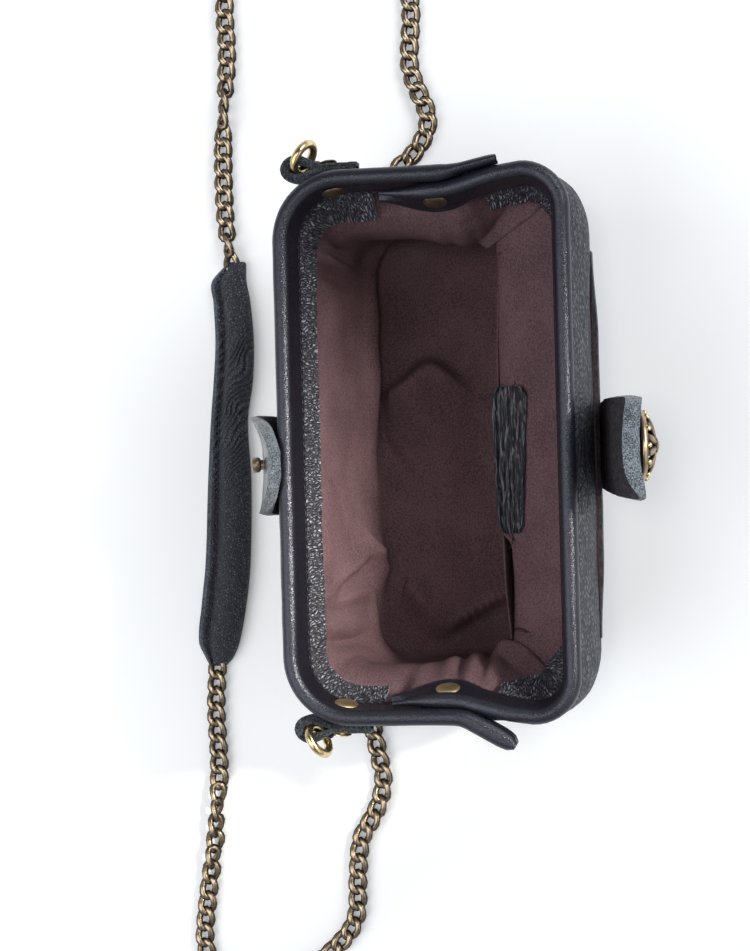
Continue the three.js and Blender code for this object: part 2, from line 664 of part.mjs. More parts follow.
function ringTab(side) {
  const { faceX, thick, foldY, endY, low, height } = RING_TAB;
  const { along, across, wall, shoulder, taper, segments } = TAB_EYE;
  const middle = faceX + thick / 2;
  const length = endY - foldY;
  const shape = new THREE.Shape();
  shape.moveTo(taper, -thick / 2);
  shape.lineTo(length, -thick / 2);
  shape.lineTo(length, thick / 2);
  shape.lineTo(taper, thick / 2);
  shape.lineTo(shoulder, across + wall);
  shape.absellipse(0, 0, along + wall, across + wall, Math.PI / 2, Math.PI * 1.5, false);
  shape.lineTo(shoulder, -across - wall);
  const eye = new THREE.Path();
  eye.absellipse(0, 0, along, across, 0, 2 * Math.PI, false);
  shape.holes.push(eye);
  const settings = { depth: height, bevelEnabled: false, curveSegments: segments };
  const strip = new THREE.ExtrudeGeometry(shape, settings);
  strip.rotateZ(Math.PI / 2).translate(middle * side, foldY, low);
  return cut(strip, [rivetHole(rivetLine(side, "tab"))]);
}

// A ring hanging out of the tab's eye: its middle is out and down from the eye
function ring(side) {
  const { radius, wire, hang, swing, lean, slack } = RING;
  const eye = new THREE.Vector3(side * (RING_TAB.faceX + RING_TAB.thick / 2), RING_TAB.foldY, 0);
  eye.z = RING_TAB.low + RING_TAB.height / 2;
  const outward = new THREE.Vector3(side * Math.cos(swing), Math.sin(swing), 0);
  const up = new THREE.Vector3(0, -Math.sin(lean), Math.cos(lean));
  up.addScaledVector(outward, -up.dot(outward)).normalize();
  const reach = radius * Math.cos(hang) - slack;
  const centre = eye.addScaledVector(outward, reach).addScaledVector(up, -radius * Math.sin(hang));
  const torus = new THREE.TorusGeometry(radius, wire, RING_STEPS.wire, RING_STEPS.round);
  const basis = new THREE.Matrix4().makeBasis(outward, up, outward.clone().cross(up)).setPosition(centre);
  return torus.applyMatrix4(basis);
}

// Shoulder pad: sewn flat along one edge and folded round along the other
function shoulderPad() {
  const sections = PAD_ROWS.map(({ x, sewn, folded, high }) => {
    const edge = Math.min(PAD_EDGE_HEIGHT, high);
    return PAD_SECTION.map(({ across, ofEdge, ofHigh }) => {
      return new THREE.Vector3(x, mix(sewn, folded, across), ofEdge * edge + ofHigh * high);
    });
  });
  return loft(sections);
}

function chain(route) {
  const points = route.map(([x, y, z]) => new THREE.Vector3(x, y, z));
  const curve = new THREE.CatmullRomCurve3(points, false, "centripetal");
  const section = new THREE.Shape();
  section.absarc(0, 0, CHAIN_RADIUS, 0, 2 * Math.PI, false);
  const count = Math.round(curve.getLength() / CHAIN_STEP);
  return new THREE.ExtrudeGeometry(section, {
    extrudePath: curve,
    steps: count,
    curveSegments: CHAIN_SIDES / 2,
    bevelEnabled: false,
  });
}

// The assembly
const pivotHoles = Object.values(ENDS).map((side) => rivetHole(rivetLine(side, "pivot")));
const tabHoles = Object.values(ENDS).map((side) => rivetHole(rivetLine(side, "tab")));
add("leather_shell", cut(leatherShell(), [...pivotHoles, ...tabHoles]), "pebbled");
add("front_rim", cut(frontRim(), [...pivotHoles, ...tabHoles]), "smooth");
add("back_rim", cut(backRim(), pivotHoles), "smooth");
add("front_facing", facing(frontRimPath(), FRONT_FACING_STEPS, FRONT_FACING, -1), "pebbled");
add("back_facing", facing(backRimPath(), BACK_RIM_STEPS, BACK_FACING, 1), "pebbled");
add("lining", lining(), "cotton");
add("inner_pocket", innerPocket(), "cotton");
add("pocket_strip", pocketStrip(), "suede");
add("outer_pocket", outerPocket(), "pebbled");
add("closure_strap", strap(CLOSURE_ROWS, 1), "suede");
add("stud_tab", strap(TAB_ROWS, -1), "suede");
add("snap_stud", snapStud(), "brass");
add("concho", concho(), "oldBrass");
add("shoulder_pad", shoulderPad(), "pebbled");
add("chain_left", chain(CHAIN_LEFT_ROUTE), "oldBrass");
add("chain_right", chain(CHAIN_RIGHT_ROUTE), "oldBrass");
for (const [name, side] of Object.entries(ENDS)) {
  for (const kind of ["pivot", "tab"]) {
    const line = rivetLine(side, kind);
    add(`${kind}_rivet_${name}`, pointed(rivet(line.length), line.direction, line.seat), "brass");
  }
  add(`ring_tab_${name}`, ringTab(side), "suede");
  add(`ring_${name}`, ring(side), "brass");
}

export default bag;
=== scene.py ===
# A framed leather clutch bag, standing open with its chain strap laid beside it.
# Shapes are worked out in millimetres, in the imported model's frame, and become metres when a mesh is made.
import math

import bmesh
import bpy
from mathutils import Matrix, Vector, noise


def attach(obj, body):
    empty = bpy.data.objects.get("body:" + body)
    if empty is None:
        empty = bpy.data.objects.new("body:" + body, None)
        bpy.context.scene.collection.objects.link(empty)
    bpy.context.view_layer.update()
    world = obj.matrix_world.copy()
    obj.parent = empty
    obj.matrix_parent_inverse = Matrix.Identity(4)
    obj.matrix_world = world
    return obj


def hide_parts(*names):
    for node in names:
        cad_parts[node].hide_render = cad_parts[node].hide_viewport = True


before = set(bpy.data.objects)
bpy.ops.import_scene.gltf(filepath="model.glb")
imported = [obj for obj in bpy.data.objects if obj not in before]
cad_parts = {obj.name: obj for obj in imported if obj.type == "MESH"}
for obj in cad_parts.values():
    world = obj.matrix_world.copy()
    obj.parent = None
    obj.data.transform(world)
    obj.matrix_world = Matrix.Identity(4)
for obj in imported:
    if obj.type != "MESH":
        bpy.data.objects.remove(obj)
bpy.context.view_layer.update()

MM = 0.001
BODY = "root"
UP = Vector((0, 0, 1))

# Sizes of the mouth and its half frames
MOUTH_LENGTH = 199
MOUTH_WIDTH = 107
RIM_HEIGHT = 105
ROLL_RADIUS = 3
ROLL_X = MOUTH_LENGTH / 2 - ROLL_RADIUS
ROLL_Y = MOUTH_WIDTH / 2 - ROLL_RADIUS
FRONT_CORNER = 22
BACK_CORNER = 14
PIVOT_Y = 5
ENDS = {"left": -1, "right": 1}

# Lengths too short to divide by, in millimetres, and points close enough to merge, in metres
TINY = 1e-9
MERGE = 1e-7
STRAP_MERGE = 1e-6


# Numbers

def mix(low, high, share):
    return low + (high - low) * share


def smooth(value, low, high):
    share = min(max((value - low) / (high - low), 0), 1)
    return share * share * (3 - 2 * share)


def hump(value, middle, width):
    return math.exp(-(((value - middle) / width) ** 2))


def ripple(point, size, seed=0):
    """Smooth noise from -1 to 1 that changes over about this many millimetres."""
    return noise.noise(Vector(point) / size + Vector((seed, seed * 1.7, 0)))


def ripples(point, *layers):
    """Ripples on each other, each given as its height, size and seed."""
    return sum(height * ripple(point, size, seed) for height, size, seed in layers)


# Lines of points

def spline(points, steps):
    """Points on a smooth curve through the given ones, with a number of steps between each two."""
    through = [Vector(point) for point in points]
    padded = [2 * through[0] - through[1], *through, 2 * through[-1] - through[-2]]
    curve = []
    for a, b, c, d in zip(padded, padded[1:], padded[2:], padded[3:]):
        for step in range(steps):
            t = step / steps
            bend = (2 * a - 5 * b + 4 * c - d) * t**2 + (3 * b - a - 3 * c + d) * t**3
            curve.append((2 * b + (c - a) * t + bend) / 2)
    return [*curve, through[-1]]


def arc(centre, radius, start, end, steps):
    angles = [math.radians(mix(start, end, step / steps)) for step in range(steps + 1)]
    return [Vector(centre) + radius * Vector((math.cos(angle), math.sin(angle))) for angle in angles]


def circle(centre, first, second, radius, sides):
    """Points round a circle in the plane of two directions."""
    turns = [2 * math.pi * i / sides for i in range(sides)]
    return [centre + radius * (math.cos(turn) * first + math.sin(turn) * second) for turn in turns]


def heading(points, index):
    """The direction of a line of points at one of them."""
    return (points[min(index + 1, len(points) - 1)] - points[max(index - 1, 0)]).normalized()


def evenly(points, spacing):
    """Points at an even spacing along a line of points."""
    lengths = [0]
    for a, b in zip(points, points[1:]):
        lengths.append(lengths[-1] + (b - a).length)
    count = max(round(lengths[-1] / spacing), 1)
    found = []
    index = 0
    for step in range(count + 1):
        target = lengths[-1] * step / count
        while index < len(points) - 2 and lengths[index + 1] < target:
            index += 1
        share = (target - lengths[index]) / max(lengths[index + 1] - lengths[index], TINY)
        found.append(points[index].lerp(points[index + 1], share))
    return found


def between(rows, key, value):
    """The rows' columns at a value of the key column, on a smooth curve through the rows."""
    rows = sorted(rows, key=lambda row: row[key])
    index = max(i for i, row in enumerate(rows[:-1]) if row[key] <= value or i == 0)
    low, high = rows[index], rows[index + 1]
    before, after = rows[max(index - 1, 0)], rows[min(index + 2, len(rows) - 1)]
    span = high[key] - low[key]
    t = min(max((value - low[key]) / span, 0), 1)
    found = {}
    for column in low:
        leave = (high[column] - before[column]) / max(high[key] - before[key], TINY) * span
        reach = (after[column] - low[column]) / max(after[key] - low[key], TINY) * span
        rise = (3 * t**2 - 2 * t**3) * (high[column] - low[column])
        found[column] = low[column] + rise + (t**3 - 2 * t**2 + t) * leave + (t**3 - t**2) * reach
    return found


def table(columns, rows):
    return [dict(zip(columns.split(), row)) for row in rows]


# Meshes

def loft(bm, sections, closed=True, capped=True, paint=None):
    """A skin over sections of equally many points, with a UV map in metres across and along them."""
    uv = bm.loops.layers.uv.verify()
    rows = [[*section, section[0]] if closed else list(section) for section in sections]
    columns, steps = len(rows[0]) - 1, len(rows) - 1
    middle = rows[steps // 2]
    girth = sum((Vector(b) - Vector(a)).length for a, b in zip(middle, middle[1:]))
    length = sum((Vector(b[0]) - Vector(a[0])).length for a, b in zip(rows, rows[1:]))
    made = bmesh.ops.create_grid(bm, x_segments=columns, y_segments=steps, size=1, calc_uvs=True)["verts"]
    faces = {face for vert in made for face in vert.link_faces}
    for face in faces:
        if paint:
            spot = face.calc_center_median()
            face.material_index = paint(int((spot.x + 1) / 2 * columns), int((spot.y + 1) / 2 * steps))
        for loop in face.loops:
            loop[uv].uv = (loop[uv].uv.x * girth * MM, loop[uv].uv.y * length * MM)
    for vert in made:
        column = round((vert.co.x + 1) / 2 * columns)
        row = round((vert.co.y + 1) / 2 * steps)
        vert.co = Vector(rows[row][column]) * MM
    bmesh.ops.remove_doubles(bm, verts=made, dist=MERGE)
    if closed and capped:
        edges = {edge for face in faces if face.is_valid for edge in face.edges if edge.is_boundary}
        bmesh.ops.holes_fill(bm, edges=list(edges), sides=0)


def piece(name, bm, finishes, replaces=(), sharp=40):
    """A finished mesh as an object that rides on the bag, with sharp edges past an angle."""
    bmesh.ops.recalc_face_normals(bm, faces=bm.faces)
    mesh = bpy.data.meshes.new(name)
    bm.to_mesh(mesh)
    bm.free()
    for material in finishes:
        mesh.materials.append(material)
    mesh.shade_smooth()
    mesh.set_sharp_from_angle(angle=math.radians(sharp))
    item = bpy.data.objects.new(name, mesh)
    bpy.context.scene.collection.objects.link(item)
    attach(item, BODY)
    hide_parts(*replaces)
    return item


def thicken(item, thickness, offset):
    wall = item.modifiers.new("wall", "SOLIDIFY")
    wall.thickness = thickness * MM
    wall.offset = offset
    return item


def soften(item, levels):
    smoothing = item.modifiers.new("soft", "SUBSURF")
    smoothing.levels = levels
    smoothing.render_levels = levels


def mark_wear_and_light(item, shine):
    """Marks each point of a piece with how bright its metal shows: wear on some pieces, painted light and
    shade on the chain.
    """
    wear_and_sheen = item.data.attributes.new("wear_and_sheen", "FLOAT", "POINT")
    for vert, value in zip(item.data.vertices, wear_and_sheen.data):
        value.value = shine(vert)
    return item


# Finishes: an expression on sockets adds the nodes that work it out

class Socket:
    """An output of a shader node that takes part in arithmetic."""

    def __init__(self, tree, output):
        self.tree = tree
        self.output = output

    def node(self, kind, settings, inputs, output=0):
        made = self.tree.nodes.new(kind)
        for name, value in settings.items():
            setattr(made, name, value)
        for key, value in inputs.items():
            connect(self.tree, made.inputs[key], value)
        return Socket(self.tree, made.outputs[output])

    def math(self, operation, first, second):
        return self.node("ShaderNodeMath", {"operation": operation}, {0: first, 1: second})

    def __add__(self, other):
        return self.math("ADD", self, other)

    __radd__ = __add__

    def __sub__(self, other):
        return self.math("SUBTRACT", self, other)

    def __rsub__(self, other):
        return self.math("SUBTRACT", other, self)

    def __mul__(self, other):
        return self.math("MULTIPLY", self, other)

    __rmul__ = __mul__

    def span(self, low, high, to_low=0.0, to_high=1.0):
        """This value, eased from one range to another and kept inside it."""
        ends = {1: low, 2: high, 3: to_low, 4: to_high}
        return self.node("ShaderNodeMapRange", {"interpolation_type": "SMOOTHSTEP"}, {0: self, **ends})

    def colours(self, first, second):
        """A mix of two colours by this value."""
        inputs = {0: self, 6: first, 7: second}
        return self.node("ShaderNodeMix", {"data_type": "RGBA"}, inputs, 2)

    def noise(self, scale, detail=2.0, output="Fac"):
        return self.node("ShaderNodeTexNoise", {}, {"Vector": self, "Scale": scale, "Detail": detail}, output)

    def cells(self, scale):
        settings = {"feature": "DISTANCE_TO_EDGE"}
        return self.node("ShaderNodeTexVoronoi", settings, {"Vector": self, "Scale": scale}, "Distance")

    def waves(self, scale, warp):
        inputs = {"Vector": self, "Scale": scale, "Distortion": warp, "Detail": 1.0, "Detail Scale": 0.3}
        return self.node("ShaderNodeTexWave", {"bands_direction": "X"}, inputs, "Fac")

    def part(self, axis):
        """One of these coordinates."""
        return self.node("ShaderNodeSeparateXYZ", {}, {0: self}, axis)

    def stretched(self, scale, turn=0.0):
        """These coordinates, scaled along each axis and then turned about the third."""
        inputs = {"Vector": self, "Rotation": (0.0, 0.0, turn), "Scale": scale}
        return self.node("ShaderNodeMapping", {}, inputs)

    def wobbled(self, scale, amount):
        """These coordinates, pushed about by noise."""
        push = self.noise(scale, 1.0, "Color")
        settings = {"operation": "MULTIPLY_ADD"}
        return self.node("ShaderNodeVectorMath", settings, {0: push, 1: (amount,) * 3, 2: self})

    def bump(self, strength, distance):
        return self.node("ShaderNodeBump", {}, {"Strength": strength, "Distance": distance, "Height": self})


def connect(tree, target, value):
    if isinstance(value, Socket):
        tree.links.new(value.output, target)
    else:
        target.default_value = value


def finish(name, paint, **constants):
    """A material from what paint returns for its sockets, and from the values that are the same all over."""
    material = bpy.data.materials.new(name)
    material.use_nodes = True
    tree = material.node_tree
    shader = tree.nodes["Principled BSDF"]
    coordinates = tree.nodes.new("ShaderNodeTexCoord")
    place = Socket(tree, coordinates.outputs["Object"])
    weave = Socket(tree, coordinates.outputs["UV"])
    for socket, value in {**constants, **paint(place, weave)}.items():
        connect(tree, shader.inputs[socket.replace("_", " ")], value)
    return material


# The two colours that each finish is mixed from
COLOURS = {
    # For the pebbled, facing and sleeve leathers the first colour is painted shade between the pebbles and
    # wrinkles, and the second is painted highlight on their tops.
    "pebbled": ((0.013, 0.013, 0.017, 1), (0.088, 0.089, 0.104, 1)),
    "facing": ((0.018, 0.018, 0.024, 1), (0.330, 0.330, 0.380, 1)),
    "sleeve": ((0.015, 0.015, 0.020, 1), (0.250, 0.252, 0.295, 1)),
    "smooth": ((0.007, 0.007, 0.011, 1), (0.013, 0.013, 0.019, 1)),
    "raw": ((0.006, 0.010, 0.016, 1), (0.140, 0.170, 0.204, 1)),
    "raw_dark": ((0.004, 0.005, 0.008, 1), (0.055, 0.068, 0.088, 1)),
    # The stud tab's face: lighter all over than the other leathers as painted glare, with the first colour
    # darker in its creases as painted shade.
    "wear_and_sheen": ((0.045, 0.045, 0.053, 1), (0.085, 0.085, 0.095, 1)),
    "flesh": ((0.004, 0.003, 0.006, 1), (0.034, 0.027, 0.036, 1)),
    "cotton": ((0.072, 0.040, 0.047, 1), (0.154, 0.090, 0.101, 1)),
    "ribbon": ((0.006, 0.006, 0.009, 1), (0.170, 0.170, 0.196, 1)),
    "brass": ((0.78, 0.62, 0.34, 1), (0.42, 0.29, 0.13, 1)),
    "satin_brass": ((0.84, 0.69, 0.42, 1), (0.60, 0.44, 0.21, 1)),
    "old_brass": ((0.045, 0.035, 0.028, 1), (0.44, 0.34, 0.23, 1)),
    "thread": ((0.006, 0.006, 0.008, 1), (0.03, 0.031, 0.036, 1)),
    "floor": ((0.90, 0.90, 0.905, 1), (0.93, 0.93, 0.935, 1)),
}
# Along the sleeve in metres: where its wrinkles start and fade, and where the lighter colour of the panel at
# its end stops
SLEEVE_SPANS = {"start": (-0.050, -0.044), "fade": (-0.022, 0.030), "panel": (-0.056, -0.044)}


def paint_pebbled(place, _):
    """Pebbled leather with broad wrinkles along the bag, lighter on the pebble tops as painted highlight and
    darker between the pebbles and in the wrinkle hollows as painted shade.
    """
    bent = place.wobbled(240.0, 0.0022).stretched((0.8, 1.0, 1.0))
    wrinkles = place.wobbled(70.0, 0.010).stretched((0.3, 1.0, 1.0)).noise(260.0, 3.0)
    pebbles = bent.cells(560.0).span(0.0, 0.36)
    highlight_and_shade = pebbles * (0.55 + 0.45 * wrinkles.span(0.35, 0.65))
    return {
        "Base Color": highlight_and_shade.colours(*COLOURS["pebbled"]),
        "Roughness": highlight_and_shade.span(0.0, 1.0, 0.70, 0.38),
        "Normal": (pebbles * 0.3 + wrinkles * 4.0).bump(1.0, 0.0014),
    }


def paint_facing(_, weave):
    """Pebbled leather that is crushed into fine wrinkles, lighter on their tops as painted highlight and
    darker between them as painted shade.
    """
    bent = weave.wobbled(140.0, 0.0045).stretched((0.3, 1.0, 1.0), 0.6)
    wrinkles = bent.cells(1050.0).span(0.0, 0.34)
    flecks = bent.noise(1100.0, 3.0)
    highlight_and_shade = wrinkles * flecks.span(0.32, 0.62)
    return {
        "Base Color": highlight_and_shade.colours(*COLOURS["facing"]),
        "Roughness": wrinkles.span(0.0, 1.0, 0.70, 0.40),
        "Normal": (wrinkles + flecks * 0.5 + bent.noise(200.0, 3.0) * 1.4).bump(1.0, 0.0009),
    }


def paint_sleeve(place, _):
    """Pebbled leather with fine wrinkles that rise across part of the sleeve, lighter on the pebble tops and
    the wrinkle crests as painted highlight, darker between the pebbles as painted shade, and lighter on the
    panel at its end.
    """
    fan = place.wobbled(60.0, 0.010).stretched((1.0, 1.0, 1.0), -0.9).waves(170.0, 1.5)
    along = place.part("X")
    share = along.span(*SLEEVE_SPANS["start"]) * (1 - along.span(*SLEEVE_SPANS["fade"]))
    pebbles = place.wobbled(260.0, 0.0018).cells(950.0).span(0.0, 0.4)
    lighter_end = 0.55 + 0.45 * (1 - along.span(*SLEEVE_SPANS["panel"]))
    highlight_and_shade = (pebbles * place.noise(1000.0, 3.0).span(0.34, 0.66) * 0.8 + fan * share * 0.25) * lighter_end
    return {
        "Base Color": highlight_and_shade.colours(*COLOURS["sleeve"]),
        "Roughness": pebbles.span(0.0, 1.0, 0.70, 0.42),
        "Normal": (pebbles * 0.6 + fan * share * 2.2 + place.noise(170.0, 3.0) * 1.6).bump(1.0, 0.0007),
    }


def paint_smooth(place, _):
    grain = place.wobbled(700.0, 0.0006).cells(1500.0).span(0.0, 0.4)
    fine = place.noise(2400.0, 2.0)
    return {
        "Base Color": place.noise(60.0, 3.0).colours(*COLOURS["smooth"]),
        "Roughness": grain.span(0.0, 1.0, 0.36, 0.22),
        "Normal": (grain + fine * 0.3).bump(0.5, 0.0001),
    }


def paint_raw(place, _):
    fuzz = place.noise(2200.0, 4.0)
    patches = place.noise(260.0, 3.0)
    colour = (fuzz * 0.8 + patches * 0.2).span(0.37, 0.65)
    return {
        "Base Color": colour.colours(*COLOURS["raw"]),
        "Normal": (fuzz + patches * 0.6).bump(0.9, 0.0006),
    }


def paint_raw_dark(place, _):
    fuzz = place.noise(1500.0, 5.0)
    return {
        "Base Color": fuzz.span(0.42, 0.66).colours(*COLOURS["raw_dark"]),
        "Normal": fuzz.bump(1.0, 0.0009),
    }


def paint_glare_leather(place, _):
    # Lighter all over as painted glare, with painted shade in the creases.
    creases = place.wobbled(120.0, 0.003).stretched((0.35, 1.0, 1.0)).noise(300.0, 3.0)
    return {
        "Base Color": creases.span(0.30, 0.42).colours(*COLOURS["wear_and_sheen"]),
        "Roughness": creases.span(0.3, 0.7, 0.36, 0.22),
        "Normal": creases.bump(0.35, 0.0003),
    }


def paint_flesh(place, _):
    fibres = place.wobbled(220.0, 0.0012).stretched((1.0, 1.0, 0.16)).noise(760.0, 4.0)
    return {
        "Base Color": fibres.span(0.35, 0.7).colours(*COLOURS["flesh"]),
        "Normal": fibres.bump(0.9, 0.0006),
    }


def paint_cotton(place, _):
    flecks = place.noise(1700.0, 4.0)
    stains = place.noise(55.0, 3.0)
    tone = (flecks * 0.75 + stains * 0.25).span(0.36, 0.64)
    return {
        "Base Color": tone.colours(*COLOURS["cotton"]),
        "Normal": flecks.bump(0.6, 0.00025),
    }


def paint_ribbon(place, _):
    yarn = place.wobbled(300.0, 0.0015).stretched((0.1, 1.0, 1.0)).noise(1300.0, 4.0)
    return {
        "Base Color": yarn.span(0.45, 0.72).colours(*COLOURS["ribbon"]),
        "Normal": yarn.bump(0.8, 0.0004),
    }


def paint_brass(place, _):
    tarnish = place.noise(420.0, 4.0)
    return {
        "Base Color": tarnish.span(0.45, 0.75).colours(*COLOURS["brass"]),
        "Roughness": tarnish.span(0.3, 0.8, 0.16, 0.34),
        "Normal": place.noise(1500.0, 2.0).bump(0.06, 0.0001),
    }


def paint_satin_brass(place, _):
    tarnish = place.noise(420.0, 4.0)
    return {
        "Base Color": tarnish.span(0.45, 0.75).colours(*COLOURS["satin_brass"]),
        "Roughness": tarnish.span(0.3, 0.8, 0.36, 0.50),
    }


def paint_old_brass(place, _):
    # The attribute read here brightens the metal: wear on the ornament, and painted light and shade on the
    # chain.
    wear_and_sheen = place.node("ShaderNodeAttribute", {"attribute_name": "wear_and_sheen"}, {}, "Fac")
    spots = place.noise(520.0, 4.0)
    shine = (wear_and_sheen * 0.85 + spots * 0.5).span(0.45, 1.0)
    return {
        "Base Color": shine.colours(*COLOURS["old_brass"]),
        "Roughness": shine.span(0.0, 1.0, 0.55, 0.30),
        "Normal": spots.bump(0.2, 0.0002),
    }


def paint_thread(place, _):
    twist = place.noise(2600.0, 2.0)
    return {"Base Color": twist.colours(*COLOURS["thread"])}


def paint_floor(place, _):
    return {"Base Color": place.noise(3.0, 2.0).colours(*COLOURS["floor"])}


LEATHER_SHINE = {"Specular_IOR_Level": 0.55, "Specular_Tint": (0.84, 0.86, 1.0, 1.0)}
PEBBLED = finish("pebbled_leather", paint_pebbled, **LEATHER_SHINE)
FACING_LEATHER = finish("wrinkled_leather", paint_facing, **LEATHER_SHINE)
SLEEVE = finish("sleeve_leather", paint_sleeve, **LEATHER_SHINE)
SMOOTH = finish("smooth_leather", paint_smooth, **LEATHER_SHINE)
RAW = finish("raw_leather_edge", paint_raw, Roughness=0.95, Sheen_Weight=0.25)
RAW_DARK = finish("raw_leather_strip", paint_raw_dark, Roughness=0.95, Sheen_Weight=0.15)
GLARE_LEATHER = finish("glare_painted_leather", paint_glare_leather, Specular_IOR_Level=0.6)
FLESH = finish("leather_flesh_side", paint_flesh, Roughness=0.85)
COTTON = finish("brown_cotton", paint_cotton, Roughness=0.95, Specular_IOR_Level=0.2)
RIBBON = finish("black_ribbon", paint_ribbon, Roughness=0.75)
BRASS = finish("polished_brass", paint_brass, Metallic=1.0)
RIVET_BRASS = finish("satin_brass", paint_satin_brass, Metallic=1.0)
OLD_BRASS = finish("antique_brass", paint_old_brass, Metallic=1.0)
THREAD = finish("black_thread", paint_thread, Roughness=0.7)


# Camera, floor and lights

CAMERA_PLACE = (10.18, 121.17, 895.98)
CAMERA_TILT = math.radians(10)
CAMERA_ROLL = math.radians(1.5)
CAMERA_LENS = 85.3
SENSOR_HEIGHT = 36
FARTHEST_SEEN = 20


def make_camera():
    back = Vector((0, math.sin(CAMERA_TILT), math.cos(CAMERA_TILT)))
    level_right = Vector((0, math.cos(CAMERA_TILT), -math.sin(CAMERA_TILT)))
    level_up = Vector((-1, 0, 0))
    right = math.cos(CAMERA_ROLL) * level_right - math.sin(CAMERA_ROLL) * level_up
    up = math.sin(CAMERA_ROLL) * level_right + math.cos(CAMERA_ROLL) * level_up
    lens = bpy.data.cameras.new("camera")
    lens.sensor_fit = "VERTICAL"
    lens.sensor_height = SENSOR_HEIGHT
    lens.lens = CAMERA_LENS
    lens.clip_end = FARTHEST_SEEN
    camera = bpy.data.objects.new("camera", lens)
    turn = Matrix((right, up, back)).transposed().to_4x4()
    camera.matrix_world = Matrix.Translation(Vector(CAMERA_PLACE) * MM) @ turn
    bpy.context.scene.collection.objects.link(camera)
    bpy.context.scene.camera = camera


SUNNY = (1.0, 0.95, 0.83)
WARM = (1.0, 0.97, 0.92)
COOL = (0.93, 0.965, 1.0)
KEY_BEAM = {"spot_size": math.radians(10.2), "spot_blend": 0.3, "shadow_soft_size": 0.06}
LIGHTS = table(
    "name kind place aim power colour settings",
    [
        ("key", "SPOT", (-130, 604, 760), (42, -42, 92), 74.0, SUNNY, KEY_BEAM),
        ("side", "AREA", (-600, 620, 720), (0, 0, 0), 6.0, COOL, {"shape": "DISK", "size": 0.65}),
        ("bounce", "AREA", (420, 640, 760), (0, 0, 0), 2.2, COOL, {"shape": "DISK", "size": 0.9}),
        ("fill", "AREA", (240, -640, 980), (0, 0, 0), 9.0, COOL, {"shape": "DISK", "size": 1.2}),
        ("top", "AREA", (-40, 60, 1350), (0, 0, 0), 2.2, WARM, {"shape": "DISK", "size": 0.2}),
    ],
)
WORLD_LIGHT = {"colour": (0.93, 0.95, 1.0, 1.0), "heights": (0.2, 0.8), "strengths": (0.5, 0.05)}
FLOOR_GLOW = 0.18
FLOOR_HALF = 4


def make_stage():
    bm = bmesh.new()
    bmesh.ops.create_grid(bm, x_segments=1, y_segments=1, size=FLOOR_HALF)
    mesh = bpy.data.meshes.new("floor")
    bm.to_mesh(mesh)
    bm.free()
    glow = {"Emission_Color": (1.0, 1.0, 1.0, 1.0), "Emission_Strength": FLOOR_GLOW}
    mesh.materials.append(finish("pale_floor", paint_floor, Roughness=0.9, Specular_IOR_Level=0.1, **glow))
    floor = bpy.data.objects.new("floor", mesh)
    bpy.context.scene.collection.objects.link(floor)
    world = bpy.data.worlds.new("studio")
    world.use_nodes = True
    tree = world.node_tree
    coordinates = tree.nodes.new("ShaderNodeTexCoord")
    way = Socket(tree, coordinates.outputs["Generated"])
    background = tree.nodes["Background"]
    strength = way.part("Z").span(*WORLD_LIGHT["heights"], *WORLD_LIGHT["strengths"])
    connect(tree, background.inputs["Color"], WORLD_LIGHT["colour"])
    connect(tree, background.inputs["Strength"], strength)
    bpy.context.scene.world = world
    for row in LIGHTS:
        lamp = bpy.data.lights.new(row["name"], row["kind"])
        lamp.energy = row["power"]
        lamp.color = row["colour"]
        for setting, value in row["settings"].items():
            setattr(lamp, setting, value)
        light = bpy.data.objects.new(row["name"], lamp)
        light.location = Vector(row["place"]) * MM
        backward = Vector(row["place"]) - Vector(row["aim"])
        light.rotation_euler = backward.to_track_quat("Z", "Y").to_euler()
        bpy.context.scene.collection.objects.link(light)
    bpy.context.scene.view_settings.view_transform = "Standard"


# Chain strap

LINK = {
    "pitch": 6.5, "length": 11, "width": 8, "wire": 1.35, "lift": -1.2, "flat": 1.75, "clear": 0.4,
    "steps": 12, "sides": 6,
}
# Above this height the chain hangs, and its links lie flat against the bag's ends
HANGING_Z = 12
ROUTE_STEPS = 12
CHAIN_Z = 2.5
CHAIN_ROUTES = {
    "left": [
        (-103.6, -42, 90.1), (-102, -41.6, 62), (-102.4, -38, 32), (-104.6, -32, 11), (-108.6, -27, 3.6),
        (-115, -21.5, CHAIN_Z), (-121, -15, CHAIN_Z), (-132, -11, CHAIN_Z), (-144, -15, CHAIN_Z),
        (-155, -18, CHAIN_Z), (-180, -17, CHAIN_Z), (-204, -22, CHAIN_Z), (-219, -41, CHAIN_Z),
        (-221, -62, CHAIN_Z), (-209, -84, CHAIN_Z), (-186, -93, CHAIN_Z), (-162, -93, CHAIN_Z),
        (-128, -95.5, CHAIN_Z), (-97, -95.5, CHAIN_Z), (-78.4, -93.4, CHAIN_Z),
    ],
    "right": [
        (103.6, -42, 90.1), (102, -41.6, 62), (102.8, -41, 32), (105.4, -40.4, 11), (110, -40, 3.6),
        (121, -38.2, CHAIN_Z), (133, -36.2, CHAIN_Z), (145, -39.4, CHAIN_Z), (156, -45.6, CHAIN_Z),
        (170, -47.5, CHAIN_Z), (188, -48.8, CHAIN_Z), (199, -56, CHAIN_Z), (210, -70, CHAIN_Z),
        (218, -87, CHAIN_Z), (215, -104, CHAIN_Z), (201, -111.5, CHAIN_Z), (180, -110, CHAIN_Z),
        (158, -106.5, CHAIN_Z), (130, -104, CHAIN_Z), (104, -104.6, CHAIN_Z), (86.4, -103.6, CHAIN_Z),
    ],
}
# How far the chain rolls from side to side, in degrees, over what length, and how unlike its two ends are
CHAIN_ROLL = {"turn": 28, "length": 46, "apart": 40}
# Where the chain lies turned on its edge: a place on the floor, how far it turns and over what length
TWISTS = table(
    "x y turn length",
    [(-140, -94, 75, 9), (-84, -95.5, 60, 5), (145, -105, 70, 9), (165, -108.5, 60, 5)],
)


